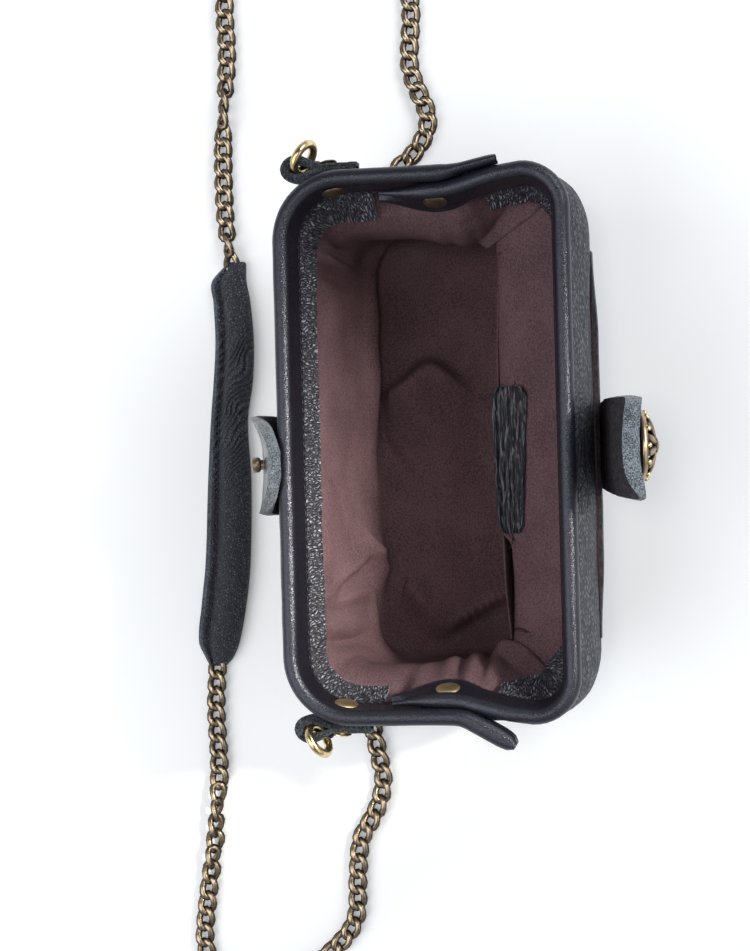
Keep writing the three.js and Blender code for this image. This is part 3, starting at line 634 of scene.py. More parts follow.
def link_ring(centre, along, flat):
    """Sections of one curb link: an oval of wire, twisted and then ground flat above and below."""
    across = flat.cross(along).normalized()
    out = along.cross(across)
    ovals = []
    for step in range(LINK["steps"]):
        angle = 2 * math.pi * step / LINK["steps"]
        reach = (LINK["length"] / 2 - LINK["wire"]) * math.cos(angle) * along
        side = (LINK["width"] / 2 - LINK["wire"]) * math.sin(angle) * across
        ovals.append(centre + reach + side + LINK["lift"] * math.sin(2 * angle) * out)
    sections = []
    for before, here, after in zip([ovals[-1], *ovals], ovals, [*ovals[1:], ovals[0]]):
        tangent = (after - before).normalized()
        outward = (here - centre).normalized()
        second = tangent.cross(outward).normalized()
        first = second.cross(tangent)
        ring = []
        for spot in circle(here, first, second, LINK["wire"], LINK["sides"]):
            height = (spot - centre).dot(out)
            ring.append(spot + out * (max(-LINK["flat"], min(height, LINK["flat"])) - height))
        sections.append(ring)
    return [*sections, sections[0]]


def make_chain(side):
    route = evenly(spline(CHAIN_ROUTES[side], ROUTE_STEPS), LINK["pitch"])
    bm = bmesh.new()
    for index, centre in enumerate(route):
        along = heading(route, index)
        flat = UP if centre.z < HANGING_Z else Vector((ENDS[side], 0, 0))
        spot = (index * LINK["pitch"], CHAIN_ROLL["apart"] * ENDS[side], 0)
        swing = CHAIN_ROLL["turn"] * ripple(spot, CHAIN_ROLL["length"])
        for twist in TWISTS:
            away = math.hypot(centre.x - twist["x"], centre.y - twist["y"])
            swing += twist["turn"] * hump(away, 0, twist["length"])
        rolled = Matrix.Rotation(math.radians(swing), 3, along) @ flat
        reach = max(LINK["flat"], LINK["width"] / 2 * abs(math.sin(math.radians(swing))))
        lifted = centre + UP * max(0, reach + LINK["clear"] - centre.z)
        loft(bm, link_ring(lifted, along, rolled), capped=False)
    bmesh.ops.remove_doubles(bm, verts=bm.verts, dist=MERGE)
    item = piece(f"curb_chain_{side}", bm, [OLD_BRASS], [f"chain_{side}"], sharp=180)
    # The links are brightest where they face up: the polished flats of the lying links, plus painted light on
    # the upper sides of every link and painted shade on their sides and undersides.
    return mark_wear_and_light(item, lambda vert: max(vert.normal.z, 0) ** 2)


# Loops and sweeps shared by the leather and the lining

# Steps along the parts of half a loop, from the middle of the front wall to the middle of the back wall
LOOP_COUNTS = (40, 12, 36, 12, 30)


def level_loop(row, inset=0):
    """A level loop with round corners, counterclockwise from the middle of the front wall."""
    half = row["half"] - inset
    back_half = row.get("back_half", row["half"]) - inset
    front, back = inset - row["front"], row["back"] - inset
    front_corner, back_corner = row["front_corner"] - inset, row["back_corner"] - inset
    right = [
        ((0, front), (half - front_corner, front)),
        arc((half - front_corner, front + front_corner), front_corner, -90, 0, LOOP_COUNTS[1]),
        ((half, front + front_corner), (back_half, back - back_corner)),
        arc((back_half - back_corner, back - back_corner), back_corner, 0, 90, LOOP_COUNTS[3]),
        ((back_half - back_corner, back), (0, back)),
    ]
    points = []
    for span, count in zip(right, LOOP_COUNTS):
        if len(span) == 2:
            span = [Vector(span[0]).lerp(Vector(span[1]), i / count) for i in range(count + 1)]
        points.extend(span[:-1])
    points.append(Vector((0, back)))
    mirrored = [Vector((-point.x, point.y)) for point in reversed(points[1:-1])]
    return [*points, *mirrored]


def fold_share(y, half_width):
    """How much of a gusset's fold a point has: all of it at the pivot and none at the corners."""
    across = min(abs(y - PIVOT_Y) / half_width, 1)
    return math.cos(across * math.pi / 2) ** 2


def sweep(path, profile_at):
    """Sections along a path in plan, from corners given as how far out and up from the roll's middle."""
    sections = []
    for index, point in enumerate(path):
        along = heading(path, index)
        outward = Vector((along.y, -along.x))
        places = [(point + outward * out, RIM_HEIGHT + up) for out, up in profile_at(point)]
        sections.append([Vector((place.x, place.y, height)) for place, height in places])
    return sections


# Leather body

SHELL_ROWS = table(
    "z half front back front_corner back_corner gusset",
    [
        (0, 82, 32, 32, 14, 14, 0),
        (3, 87.5, 37.5, 37.5, 18, 18, 0),
        (11, 91.5, 43, 43, 21, 20, 1),
        (30, 95.5, 51, 51, 24, 22, 6),
        (50, 97.6, 56, 56, 25, 22, 12),
        (68, 98.9, 57.5, 57.5, 25, 21, 12),
        (84, 99.2, 56, 56.6, 24, 19, 5),
        (95, 98.9, 53.6, 54.2, 23.5, 17, 1),
        (101.6, 98.4, 52.5, 52.4, 24, 16, 0),
    ],
)
LEATHER = 2
SHELL_GUSSET_HALF = 25
SHELL_HEIGHTS = 44
SHELL_HEIGHTS_POWER = 1.15
BASE_SHARES = (0, 0.35, 0.7, 0.94)
BODY_INSET = 0.2
GUSSET_EDGE = 6
# Soft dents as a height, a size and a seed, the finer ones drawn out up the wall
DENTS = (0.5, 24, 0)
FINE_DENTS = (0.22, 9, 3)
FINE_DENTS_RISE = 0.5
# Creases that run up along the gusset folds
CREASES = {"depth": 0.9, "x": 97, "reach": 9, "z": 62, "tall": 30, "slant": 0.8, "pitch": 4.2}
CREASES_SWAY = (2, 18, 0)
WRINKLES_END = {"low": (1, 14), "top": (90, 100)}


def body_wrinkle(point, z):
    """How far the leather stands in or out."""
    place = (point.x, point.y, z)
    soft = ripples(place, DENTS) + ripples((point.x, point.y, z * FINE_DENTS_RISE), FINE_DENTS)
    near_gusset = hump(abs(point.x), CREASES["x"], CREASES["reach"]) * hump(z, CREASES["z"], CREASES["tall"])
    phase = (z + point.y * CREASES["slant"]) / CREASES["pitch"] + ripples(place, CREASES_SWAY)
    creases = CREASES["depth"] * near_gusset * math.sin(phase)
    return (soft + creases) * smooth(z, *WRINKLES_END["low"]) * (1 - smooth(z, *WRINKLES_END["top"]))


def body_loop(z):
    row = between(SHELL_ROWS, "z", z)
    loop = level_loop(row)
    points = []
    for index, point in enumerate(loop):
        along = (loop[(index + 1) % len(loop)] - loop[index - 1]).normalized()
        outward = Vector((along.y, -along.x))
        on_end = smooth(abs(point.x), row["half"] - row["front_corner"], row["half"] - GUSSET_EDGE)
        fold = row["gusset"] * fold_share(point.y, SHELL_GUSSET_HALF) * on_end
        place = point + outward * (body_wrinkle(point, z) - BODY_INSET)
        points.append(Vector((place.x - math.copysign(fold, point.x), place.y, z)))
    return points


def make_body():
    top = SHELL_ROWS[-1]["z"]
    base = body_loop(0)
    heights = [top * (i / SHELL_HEIGHTS) ** SHELL_HEIGHTS_POWER for i in range(1, SHELL_HEIGHTS + 1)]
    sections = [[point * share for point in base] for share in BASE_SHARES]
    sections += [base, *(body_loop(z) for z in heights)]
    bm = bmesh.new()
    loft(bm, sections, capped=False)
    item = piece("leather_body", bm, [PEBBLED], ["leather_shell"])
    return thicken(item, LEATHER, -1)


# Half frames: a roll of smooth leather with a band below it that leans into the mouth

BAND = {
    "drop": 12, "lean": 0.194, "middle": -1.4, "round": 0.3,
    "seam": -10, "groove": 0.35, "groove_width": 0.35,
}
BAND_UPS = (-2, -4.5, -7, -9, -9.6, -10, -10.4, -11.4)
BAND_OUTER_SHARES = (0.94, 0.5, 0.2)
ROLL_TURN = (-65, 180)
ROLL_STEPS = 16
ROLL_UNEVEN = (0.03, 9, 0)
TAIL = {"start_y": 7, "full_y": 16, "band_end_y": 11, "band_drop": 3.6, "round_y": 24, "end_share": 0.4}
TAIL_WIDTHS = {"left": 0.62, "right": 1.15}
# The cut ends of a rim: the width of leather round the end, and how deep the end is hollow
RIM_END = {"wall": 0.5, "hollow": 3}
LEFT_TAIL = [(-100.7, 28), (-99, 20), (-97.5, 13), (-96.8, 10)]
RIGHT_TAIL = [(96.8, 10), (97.7, 13), (100.8, 19), (104.2, 25), (107, 29.6)]
ARM = {
    "tip_y": -15, "tip_share": 0.3, "tip_drop": 2.4, "dip_start_y": 30, "pivot_dip": 3, "tip_dip": 5,
    "lean": 0.36, "lean_end_y": (7, 18),
}
BACK_ARMS = {
    "left": [(-91, -15), (-90.6, -6), (-90.8, 5), (-91.3, 11), (-92.4, 16), (-93.9, 22), (-95.3, 28)],
    "right": [(92.2, -15), (91.2, -6), (90.8, 5), (91.3, 11), (92.4, 16), (93.9, 22), (95.3, 28)],
}
RIM_STEP = 2
PATH_STEPS = 8
TURN_STEPS = {"front": 16, "back": 12}


def front_path():
    corner_x, corner_y = ROLL_X - FRONT_CORNER, FRONT_CORNER - ROLL_Y
    left = spline([*LEFT_TAIL, (-ROLL_X, PIVOT_Y)], PATH_STEPS)
    right = spline([(ROLL_X, PIVOT_Y), *RIGHT_TAIL], PATH_STEPS)
    left_turn = arc((-corner_x, corner_y), FRONT_CORNER, 180, 270, TURN_STEPS["front"])
    right_turn = arc((corner_x, corner_y), FRONT_CORNER, -90, 0, TURN_STEPS["front"])
    return evenly([*left, *left_turn, *right_turn, *right], RIM_STEP)


def back_path():
    corner_x, corner_y = ROLL_X - BACK_CORNER, ROLL_Y - BACK_CORNER
    right = spline([*BACK_ARMS["right"], (ROLL_X, corner_y)], PATH_STEPS)
    left = spline([*BACK_ARMS["left"], (-ROLL_X, corner_y)], PATH_STEPS)
    right_turn = arc((corner_x, corner_y), BACK_CORNER, 0, 90, TURN_STEPS["back"])
    left_turn = arc((-corner_x, corner_y), BACK_CORNER, 90, 180, TURN_STEPS["back"])
    return evenly([*right, *right_turn, *left_turn, *reversed(left)], RIM_STEP)


def band_face(up, side, lean=BAND["lean"]):
    return BAND["middle"] + lean * up + side * LEATHER / 2


def rim_profile(radius, drop, width_share=1, lift=0, lean=BAND["lean"]):
    """Corners of a rim's section: over the roll from outside to inside, then down and round the band."""
    turns = [math.radians(mix(*ROLL_TURN, i / ROLL_STEPS)) for i in range(ROLL_STEPS + 1)]
    roll = [(math.cos(turn) * radius, math.sin(turn) * radius) for turn in turns]
    inner = []
    for up in BAND_UPS:
        level = up * drop / BAND["drop"]
        groove = BAND["groove"] * hump(up, BAND["seam"], BAND["groove_width"])
        inner.append((band_face(level, -1, lean) + groove, level))
    edge = [(band_face(-drop, side, lean) - side * BAND["round"], -drop) for side in (-1, 1)]
    outer = [(band_face(-drop * share, 1, lean), -drop * share) for share in BAND_OUTER_SHARES]
    return [(out * width_share, up + lift) for out, up in reversed([*roll, *inner, *edge, *outer])]


def front_profile(point):
    flattened = smooth(point.y, TAIL["start_y"], TAIL["full_y"])
    band_gone = smooth(point.y, TAIL["start_y"], TAIL["band_end_y"])
    radius = ROLL_RADIUS * (1 + ripples((point.x, point.y, 0), ROLL_UNEVEN))
    drop = mix(BAND["drop"], TAIL["band_drop"], band_gone)
    width = TAIL_WIDTHS["left" if point.x < 0 else "right"]
    past = max(point.y - TAIL["round_y"], 0) / (RIGHT_TAIL[-1][1] - TAIL["round_y"])
    rounded = mix(TAIL["end_share"], 1, math.sqrt(max(1 - past**2, 0)))
    return rim_profile(radius, drop, mix(1, width, flattened) * rounded)


def back_profile(point):
    to_pivot = smooth(-point.y, -ARM["dip_start_y"], -PIVOT_Y)
    to_tip = smooth(-point.y, -PIVOT_Y, -ARM["tip_y"])
    dip = mix(ARM["pivot_dip"] * to_pivot, ARM["tip_dip"], to_tip)
    uneven = 1 + ripples((point.x, point.y, 0), ROLL_UNEVEN)
    radius = ROLL_RADIUS * mix(1, ARM["tip_share"], to_tip) * uneven
    lean = mix(BAND["lean"], ARM["lean"], 1 - smooth(point.y, *ARM["lean_end_y"]))
    return rim_profile(radius, mix(BAND["drop"], ARM["tip_drop"], to_tip), 1, -dip, lean)


def make_rim(name, path, profile_at, node):
    bm = bmesh.new()
    loft(bm, sweep(path, profile_at))
    ends = [face for face in bm.faces if len(face.verts) > 4]
    bmesh.ops.recalc_face_normals(bm, faces=bm.faces)
    wall, hollow = RIM_END["wall"] * MM, RIM_END["hollow"] * MM
    bmesh.ops.inset_individual(bm, faces=ends, thickness=wall, depth=-hollow)
    return piece(name, bm, [SMOOTH], [node], sharp=50)


# Stitches: their pitch and how much of it shows, and each one's sections as the way along, height and width
STITCH = {"pitch": 3.1, "share": 0.62, "sides": 6}
STITCH_SECTIONS = ((0, -0.35, 0.6), (0.25, 0.1, 1), (0.75, 0.1, 1), (1, -0.35, 0.6))
RIM_SEAM = {"end_y": -2, "proud": 0.05, "thread": 0.3}


def sew(bm, path, outward, thread):
    """Stitches along points: short threads that rise out of the leather and go back in."""
    hidden = (1 - STITCH["share"]) / 2
    for start, end, out in zip(path, path[1:], outward):
        along = (end - start).normalized()
        side = out.cross(along).normalized()
        sections = []
        for step, height, width in STITCH_SECTIONS:
            middle = start.lerp(end, hidden + STITCH["share"] * step) + out * height * thread * 2
            sections.append(circle(middle, side, out, thread * width, STITCH["sides"]))
        loft(bm, sections)


def make_rim_stitches():
    """The seam that holds the band and the facing together, along the inside of the front half frame."""
    path = [point for point in front_path() if point.y < RIM_SEAM["end_y"]]
    spot = (band_face(BAND["seam"], -1) - RIM_SEAM["proud"], BAND["seam"])
    line = evenly([section[0] for section in sweep(path, lambda _: [spot])], STITCH["pitch"])
    middle = Vector((0, 0, RIM_HEIGHT))
    bm = bmesh.new()
    sew(bm, line, [(middle - point).normalized() for point in line], RIM_SEAM["thread"])
    return piece("rim_stitches", bm, [THREAD], sharp=180)


# Facings: pebbled bands inside the mouth, with a raw cut along the lower edge and the ends

FACING = {"thick": 1.4, "top_up": -9.5, "low_up": -26.5, "top_out": -1.2, "bend": 1.4}
FACING_ROWS = 12
FACING_WAVES = ((0.5, 17, 5), (0.25, 6, 2))
FACING_WAVE_OUT = 0.6
FACING_WRINKLE = {"layer": (0.35, 5.5, 7), "slant": 1.2, "rise": 0.6, "start": (0.1, 0.5)}
FRONT_FACING = {
    "low": table("x out", [(-97, -12.5), (-88, -9.6), (-70, -7.2), (0, -6.6), (75, -7), (97, -8.3)]),
    "end_y": -19,
}
BACK_FACING = {
    "low": table("x out", [(-97, -8), (-88, -7.5), (-70, -3), (66, -3), (74, -6), (82, -12.5)]),
    "right_x": 82,
    "right": table("y out", [(16, -5), (22, -7), (30, -10), (38, -12.5), (46, -13), (51, -12.5)]),
    "end_y": 20,
}


def facing_profile(point, shape):
    low_out = between(shape["low"], "x", point.x)["out"]
    if point.x > shape.get("right_x", point.x):
        low_out = between(shape["right"], "y", point.y)["out"]
    waves = ripples((point.x, point.y, 0), *FACING_WAVES)
    inner = []
    for row in range(FACING_ROWS + 1):
        share = row / FACING_ROWS
        up = mix(FACING["top_up"], FACING["low_up"] + waves, share)
        slanted = (point.x + FACING_WRINKLE["slant"] * up, point.y + up, up * FACING_WRINKLE["rise"])
        wrinkle = ripples(slanted, FACING_WRINKLE["layer"]) * smooth(share, *FACING_WRINKLE["start"])
        lean = mix(FACING["top_out"], low_out, share ** FACING["bend"])
        inner.append((lean - FACING["thick"] / 2 + wrinkle + waves * share * FACING_WAVE_OUT, up))
    outer = [(out + FACING["thick"], up) for out, up in reversed(inner)]
    return [*inner, *outer]


def facing_finish(column, _):
    return 1 if column == FACING_ROWS else 0


def make_facing(name, path, shape, keep, node):
    kept = [point for point in path if keep * (point.y - shape["end_y"]) > 0]
    bm = bmesh.new()
    loft(bm, sweep(kept, lambda point: facing_profile(point, shape)), paint=facing_finish)
    for face in bm.faces:
        if len(face.verts) > 4:
            face.material_index = 1
    return piece(name, bm, [FACING_LEATHER, RAW], [node])


# Lining: a loose cotton pouch

LINING_ROWS = table(
    "z half back_half front back front_corner back_corner gusset gather",
    [
        (83, 94.3, 96.2, 47.9, 50.8, 19, 13, 4.2, 0),
        (77.4, 92.6, 95.8, 46.3, 50.2, 18, 13, 9, 0.8),
        (68, 90, 91, 44.6, 37.5, 17, 12, 12, 1.2),
        (57, 89, 89, 43.2, 26, 16, 11, 12.5, 1),
        (42, 88, 88, 41, 27.6, 15, 11, 9, 0.4),
        (24, 87, 87, 37.5, 30.6, 15, 12, 4, 0),
        (15, 85.5, 85.5, 35, 31, 15, 12, 2, 0),
        (9, 83.5, 83.5, 36, 31, 15, 12, 1, 0),
        (5.5, 80, 80, 33, 28.5, 13, 11, 0, 0),
    ],
)
CLOTH = 1
LINING_THICK = 0.8
LINING_FLOOR = LINING_ROWS[-1]["z"] + CLOTH
LINING_HEIGHTS = 84
LINING_GUSSET_HALF = 23
LINING_WAVES = ((0.9, 27, 11), (0.45, 12, 4))
BACK_WAVE_SHARE = 0.7
# Where the cloth of an end starts, past the straight of the front, and how near a wall its folds are full
END_START = (-2, 3)
WALL_EDGE = 2
END_FOLD = {"middle": 9, "half": 25, "least": 0.7, "front": (-45, -35), "free": (76, 81)}
END_FOLD_SIDES = {
    "left": {"depth": 1, "ruffle": 0.4, "back": (12, 36)},
    "right": {"depth": 0.66, "ruffle": 1.1, "back": (26, 46)},
}
LINING_RISE = {"height": 8.5, "depth": 22, "start": -15, "full": -9, "full_end": 14, "end": 21}
GATHERS = table(
    "y width height",
    [
        (1, 3.2, 1.1),
        (5.8, 1.3, -1.2),
        (10.5, 2.4, 1.8),
        (14.6, 1.2, -1.6),
        (19, 3.0, 1.5),
        (-9, 3, 0.7),
        (-17, 4, 0.5),
    ],
)
GATHER_SWAY = (1.5, 18, 0)

# Folds of the front wall: each stands in by its depth at a place along the wall and a height, or out where
# negative, and leans along the wall as it rises
WALL_FOLDS = table(
    "x depth width z tall lean",
    [
        (-84, -2.4, 3.5, 60, 14, 0),
        (-77.5, 2, 3.5, 58, 20, -0.05),
        (-71, 3.8, 2.2, 58, 24, -0.085),
        (-66.5, -3.4, 2.6, 58, 20, -0.085),
        (-52, 1.8, 6, 44, 20, 0),
        (-25, 1, 14, 30, 20, 0),
        (38, 1.6, 6, 20, 18, 0),
        (46, 4.6, 4, 15, 9, -1.2),
        (54, -3, 4, 17, 9, -1.2),
        (45.5, 3.4, 3.4, 40, 22, 0.27),
        (51, -2.8, 3.2, 44, 22, 0.27),
        (56, 2.6, 3, 44, 26, 0),
        (62, -1.6, 2.2, 60, 12, -0.05),
        (67, 2, 3.6, 50, 26, -0.05),
        (74, -2.4, 3, 56, 18, -0.12),
        (80, 2, 3, 54, 20, -0.08),
    ],
)
FOLDS_END = {"top": (72, 82), "low": (LINING_FLOOR, LINING_FLOOR + 8)}

# Where the front wall hangs over the bottom, where it runs on into it, and where the cloth of the ends hangs
# over the back wall's slope
OVERHANG = {"depth": 2.8, "z": 15, "tall": 5, "full_x": -26, "end_x": 4}
COVE = {"radius": 12, "start": (-14, 22), "end": (34, 86)}
CORNER_LIP = {"depth": 5, "y": 26, "z": 62, "rise": 0.9, "tall": 2.4, "start": (12, 22), "end": (40, 48)}

# Folds that lie on the bottom of the pouch: lines of points, with a height and a width to either side
FLOOR_FOLDS = table(
    "line height before after",
    [
        ([(-18, -36), (-22, -29), (-26, -22), (-33, -12), (-27, -3), (-20, 4)], 8.5, 2.2, 12),
        ([(-8, -34), (2, -20), (20, -12)], 1.6, 5, 5),
        ([(50, -26), (58, -19), (64, -13)], 4, 3, 5),
        ([(80, -16), (70, -5), (60, 12), (56, 24)], 9, 8, 3),
    ],
)
FOLD_STEPS = 6
FOLD_FADES = {"in": (-0.1, 0.4), "out": (0.6, 1.1)}
FLOOR_RINGS = 50
FLOOR_WAVE_SHARE = 0.9
FLOOR_LOWEST = -0.3
FLOOR_SETTLED = 0.16

# Where the back wall of the lining closes against the pocket, and opens past a place along it
SLIT = {"open": (33, 38), "closed": 3.2, "z": 57, "tall": 9}


def wall_folds(x, z):
    depth = OVERHANG["depth"] * hump(z, OVERHANG["z"], OVERHANG["tall"])
    depth *= 1 - smooth(x, OVERHANG["full_x"], OVERHANG["end_x"])
    for fold in WALL_FOLDS:
        middle = fold["x"] + fold["lean"] * (z - fold["z"])
        depth += fold["depth"] * hump(x, middle, fold["width"]) * hump(z, fold["z"], fold["tall"])
    return depth


def cove(x, z):
    """How far the cloth curves in where the front wall runs on into the bottom."""
    share = 1 - (z - LINING_FLOOR) / COVE["radius"]
    curve = 1 - math.sqrt(1 - min(max(share, 0), 1) ** 2)
    return COVE["radius"] * curve * smooth(x, *COVE["start"]) * (1 - smooth(x, *COVE["end"]))


def corner_lip(y, z):
    """How far the cloth of an end stands out over the back wall's slope, along a line that rises with it."""
    line = CORNER_LIP["z"] + CORNER_LIP["rise"] * (y - CORNER_LIP["y"])
    reach = smooth(y, *CORNER_LIP["start"]) * (1 - smooth(y, *CORNER_LIP["end"]))
    return CORNER_LIP["depth"] * reach * hump(z, line, CORNER_LIP["tall"])


def gathers(y, z):
    sway = ripples((0, y, z), GATHER_SWAY)
    return sum(fold["height"] * hump(y + sway, fold["y"], fold["width"]) for fold in GATHERS)


def end_fold(y, z, back):
    """How much of an end's fold the lining has: sewn narrow at the top, and nearly all across lower down."""
    across = min(abs(y - END_FOLD["middle"]) / END_FOLD["half"], 1)
    wide = mix(END_FOLD["least"], 1, math.cos(across * math.pi / 2) ** 2)
    wide *= smooth(y, *END_FOLD["front"]) * (1 - smooth(y, *back))
    return mix(wide, fold_share(y, LINING_GUSSET_HALF), smooth(z, *END_FOLD["free"]))


def lining_loop(z):
    row = between(LINING_ROWS, "z", z)
    rise_share = smooth(z, LINING_ROWS[0]["z"] - LINING_RISE["depth"], LINING_ROWS[0]["z"])
    held = 1 - smooth(z, *FOLDS_END["top"])
    folded = held * smooth(z, *FOLDS_END["low"])
    straight = row["half"] - row["front_corner"]
    points = []
    for point in level_loop(row, CLOTH):
        on_end = smooth(abs(point.x), straight + END_START[0], straight + END_START[1])
        on_front = smooth(-point.y, row["front"] - row["front_corner"], row["front"] - WALL_EDGE)
        on_back = smooth(point.y, row["back"] - row["back_corner"], row["back"] - WALL_EDGE)
        rise = smooth(point.y, LINING_RISE["start"], LINING_RISE["full"])
        rise *= 1 - smooth(point.y, LINING_RISE["full_end"], LINING_RISE["end"])
        end = END_FOLD_SIDES["left" if point.x < 0 else "right"]
        deep = mix(end["depth"], 1, smooth(z, *END_FOLD["free"])) * row["gusset"]
        deep += row["gather"] * end["ruffle"] * gathers(point.y, z)
        fold = (deep * end_fold(point.y, z, end["back"]) + corner_lip(point.y, z)) * on_end
        wave = ripples((point.x, point.y, z), *LINING_WAVES) * held
        crease = ((wall_folds(point.x, z) + wave) * folded + cove(point.x, z)) * on_front
        meet = SLIT["closed"] * hump(z, SLIT["z"], SLIT["tall"]) * (1 - smooth(point.x, *SLIT["open"]))
        x = point.x - math.copysign(fold + wave * on_end * (1 - on_front), point.x)
        y = point.y + crease - (meet + wave * BACK_WAVE_SHARE) * on_back
        points.append(Vector((x, y, z + LINING_RISE["height"] * rise * rise_share * on_end)))
    return points


def floor_height(point, folds):
    height = ripples((point.x, point.y, 0), *LINING_WAVES) * FLOOR_WAVE_SHARE
    for line, fold in folds:
        gap, index = min(((point.xy - spot).length, index) for index, spot in enumerate(line))
        share = index / (len(line) - 1)
        fade = smooth(share, *FOLD_FADES["in"]) * (1 - smooth(share, *FOLD_FADES["out"]))
        width = fold["after" if point.x > line[index].x else "before"]
        height += fold["height"] * fade * hump(gap, 0, width)
    return height


def make_lining():
    top = LINING_ROWS[0]["z"]
    walls = [lining_loop(mix(top, LINING_FLOOR, i / LINING_HEIGHTS)) for i in range(LINING_HEIGHTS + 1)]
    folds = [(spline(fold["line"], FOLD_STEPS), fold) for fold in FLOOR_FOLDS]
    floor = []
    for ring in range(1, FLOOR_RINGS + 1):
        share = 1 - ring / FLOOR_RINGS
        loop = [Vector((point.x * share, point.y * share, LINING_FLOOR)) for point in walls[-1]]
        settled = smooth(1 - share, 0, FLOOR_SETTLED)
        rises = [max(floor_height(point, folds) * settled, FLOOR_LOWEST) for point in loop]
        floor.append([point + UP * rise for point, rise in zip(loop, rises)])
    bm = bmesh.new()
    loft(bm, [*walls, *floor], capped=False)
    item = piece("lining_cloth", bm, [COTTON], ["lining"], sharp=180)
    thicken(item, LINING_THICK, 1)
    return item


# Pocket inside, and the ribbed strip sewn over its mouth

INNER_POCKET = {"left": -76, "right": 74, "steps": 50, "rows": 12}
POCKET_SIDES = {"in": 2.4, "power": 4, "low": 5}
INNER_POCKET_ROWS = table("z y", [(57, 21), (45, 22.5), (28, 25), (13, 26.5)])
POCKET_WAVES = ((0.5, 19, 2), (0.2, 7, 8))
POCKET_HEM = (0.5, 24, 6)


def make_inner_pocket():
    left, right = INNER_POCKET["left"], INNER_POCKET["right"]
    top, low = INNER_POCKET_ROWS[0]["z"], INNER_POCKET_ROWS[-1]["z"]
    sections = []
    for row in range(INNER_POCKET["rows"] + 1):
        z = mix(top, low, row / INNER_POCKET["rows"])
        raised = smooth(z, POCKET_SIDES["low"], top)
        line = []
        for step in range(INNER_POCKET["steps"] + 1):
            x = mix(left, right, step / INNER_POCKET["steps"])
            side = abs(2 * (x - left) / (right - left) - 1) ** POCKET_SIDES["power"]
            y = between(INNER_POCKET_ROWS, "z", z)["y"] + POCKET_SIDES["in"] * side * raised
            wave = ripples((x, 0, z), *POCKET_WAVES)
            line.append(Vector((x, y + wave, z + ripples((x, 0, 0), POCKET_HEM))))
        sections.append(line)
    bm = bmesh.new()
    loft(bm, sections, closed=False)
    item = piece("pocket_cloth", bm, [COTTON], ["inner_pocket"], sharp=180)
    thicken(item, CLOTH, 0)
    soften(item, 1)
    return item


STRIP = {"left": -21.5, "right": 33, "thick": 1.2, "below": 0.8, "steps": 44, "across": 48}
STRIP_ENDS = {"round": 4, "pull": 0.3}
STRIP_RIBS = {"count": 6, "height": 1.0, "sway": (0.7, 13, 0), "wide": 9}
STRIP_BORDER = {"side": 0.7, "wide": 11, "side_edge": (0.6, 1.6), "end": 0.6, "end_edge": (0.5, 1.6)}
STRIP_FUZZ = {"layer": (0.16, 1.7, 4), "wide": 12}
STRIP_BEND = (0.3, 9, 0)
STRIP_ROWS = table("y z", [(18, 57.2), (19.8, 57.6), (22.5, 58.6), (27, 60.8), (31, 63.8), (34, 66.4)])
STRIP_EDGES = table("x near far", [(-21.5, 18.3, 32.6), (6, 18.9, 31.2), (33, 20.2, 29.8)])
STRIP_THREADS = table(
    "x share length turn",
    [(33, 0.2, 4.5, 0.5), (33, 0.5, 6, -0.2), (33, 0.8, 3.5, 0.7), (-21.5, 0.6, 2.5, 2.6)],
)
LOOSE_THREAD = {"radius": 0.22, "sides": (0, 2.1, 4.2), "bend": (0, 0.9, 0.5), "rise": 0.05, "steps": 6}
# Faces near the strip's left end where the cloth below shows through
STRIP_HOLE = {"row": 2, "columns": range(18, 24)}


def strip_top(x, share):
    """A point of the strip's upper face, which has ribs along it, a raised border and rounded ends."""
    end = min(x - STRIP["left"], STRIP["right"] - x)
    pulled = 0.5 + (share - 0.5) * (1 - STRIP_ENDS["pull"] * (1 - smooth(end, 0, STRIP_ENDS["round"])) ** 2)
    edges = between(STRIP_EDGES, "x", x)
    row = between(STRIP_ROWS, "y", mix(edges["near"], edges["far"], pulled))
    sway = ripples((x, share * STRIP_RIBS["wide"], 0), STRIP_RIBS["sway"])
    ribs = STRIP_RIBS["height"] * abs(math.sin(math.pi * STRIP_RIBS["count"] * share + sway))
    to_side = min(share, 1 - share) * STRIP_BORDER["wide"]
    border = STRIP_BORDER["side"] * (1 - smooth(to_side, *STRIP_BORDER["side_edge"]))
    border += STRIP_BORDER["end"] * (1 - smooth(end, *STRIP_BORDER["end_edge"]))
    fuzz = ripples((x, share * STRIP_FUZZ["wide"], 0), STRIP_FUZZ["layer"])
    bend = ripples((x, 0, 0), STRIP_BEND)
    return Vector((x, row["y"] + bend, row["z"] + STRIP["thick"] + ribs + border + fuzz))


def strip_finish(column, row):
    return 1 if STRIP_HOLE["row"] == row and column in STRIP_HOLE["columns"] else 0


def make_strip():
    bm = bmesh.new()
    sections = []
    for step in range(STRIP["steps"] + 1):
        x = mix(STRIP["left"], STRIP["right"], step / STRIP["steps"])
        top = [strip_top(x, i / STRIP["across"]) for i in range(STRIP["across"] + 1)]
        under = (top[-1], top[STRIP["across"] // 2], top[0])
        sections.append([*top, *(point - UP * (STRIP["thick"] + STRIP["below"]) for point in under)])
    loft(bm, sections, paint=strip_finish)
    for row in STRIP_THREADS:
        start = strip_top(row["x"], row["share"]) - UP * STRIP["below"]
        way = Vector((math.cos(row["turn"]), math.sin(row["turn"]), LOOSE_THREAD["rise"]))
        end = start + way * row["length"]
        bend = start.lerp(end, 0.5) + Vector(LOOSE_THREAD["bend"])
        line = spline([start, bend, end], LOOSE_THREAD["steps"])
        sides = [Vector((0, math.cos(turn), math.sin(turn))) for turn in LOOSE_THREAD["sides"]]
        loft(bm, [[point + LOOSE_THREAD["radius"] * side for side in sides] for point in line])
    return piece("ribbed_strip", bm, [RIBBON, COTTON], ["pocket_strip"], sharp=60)


# Slip pocket on the back wall

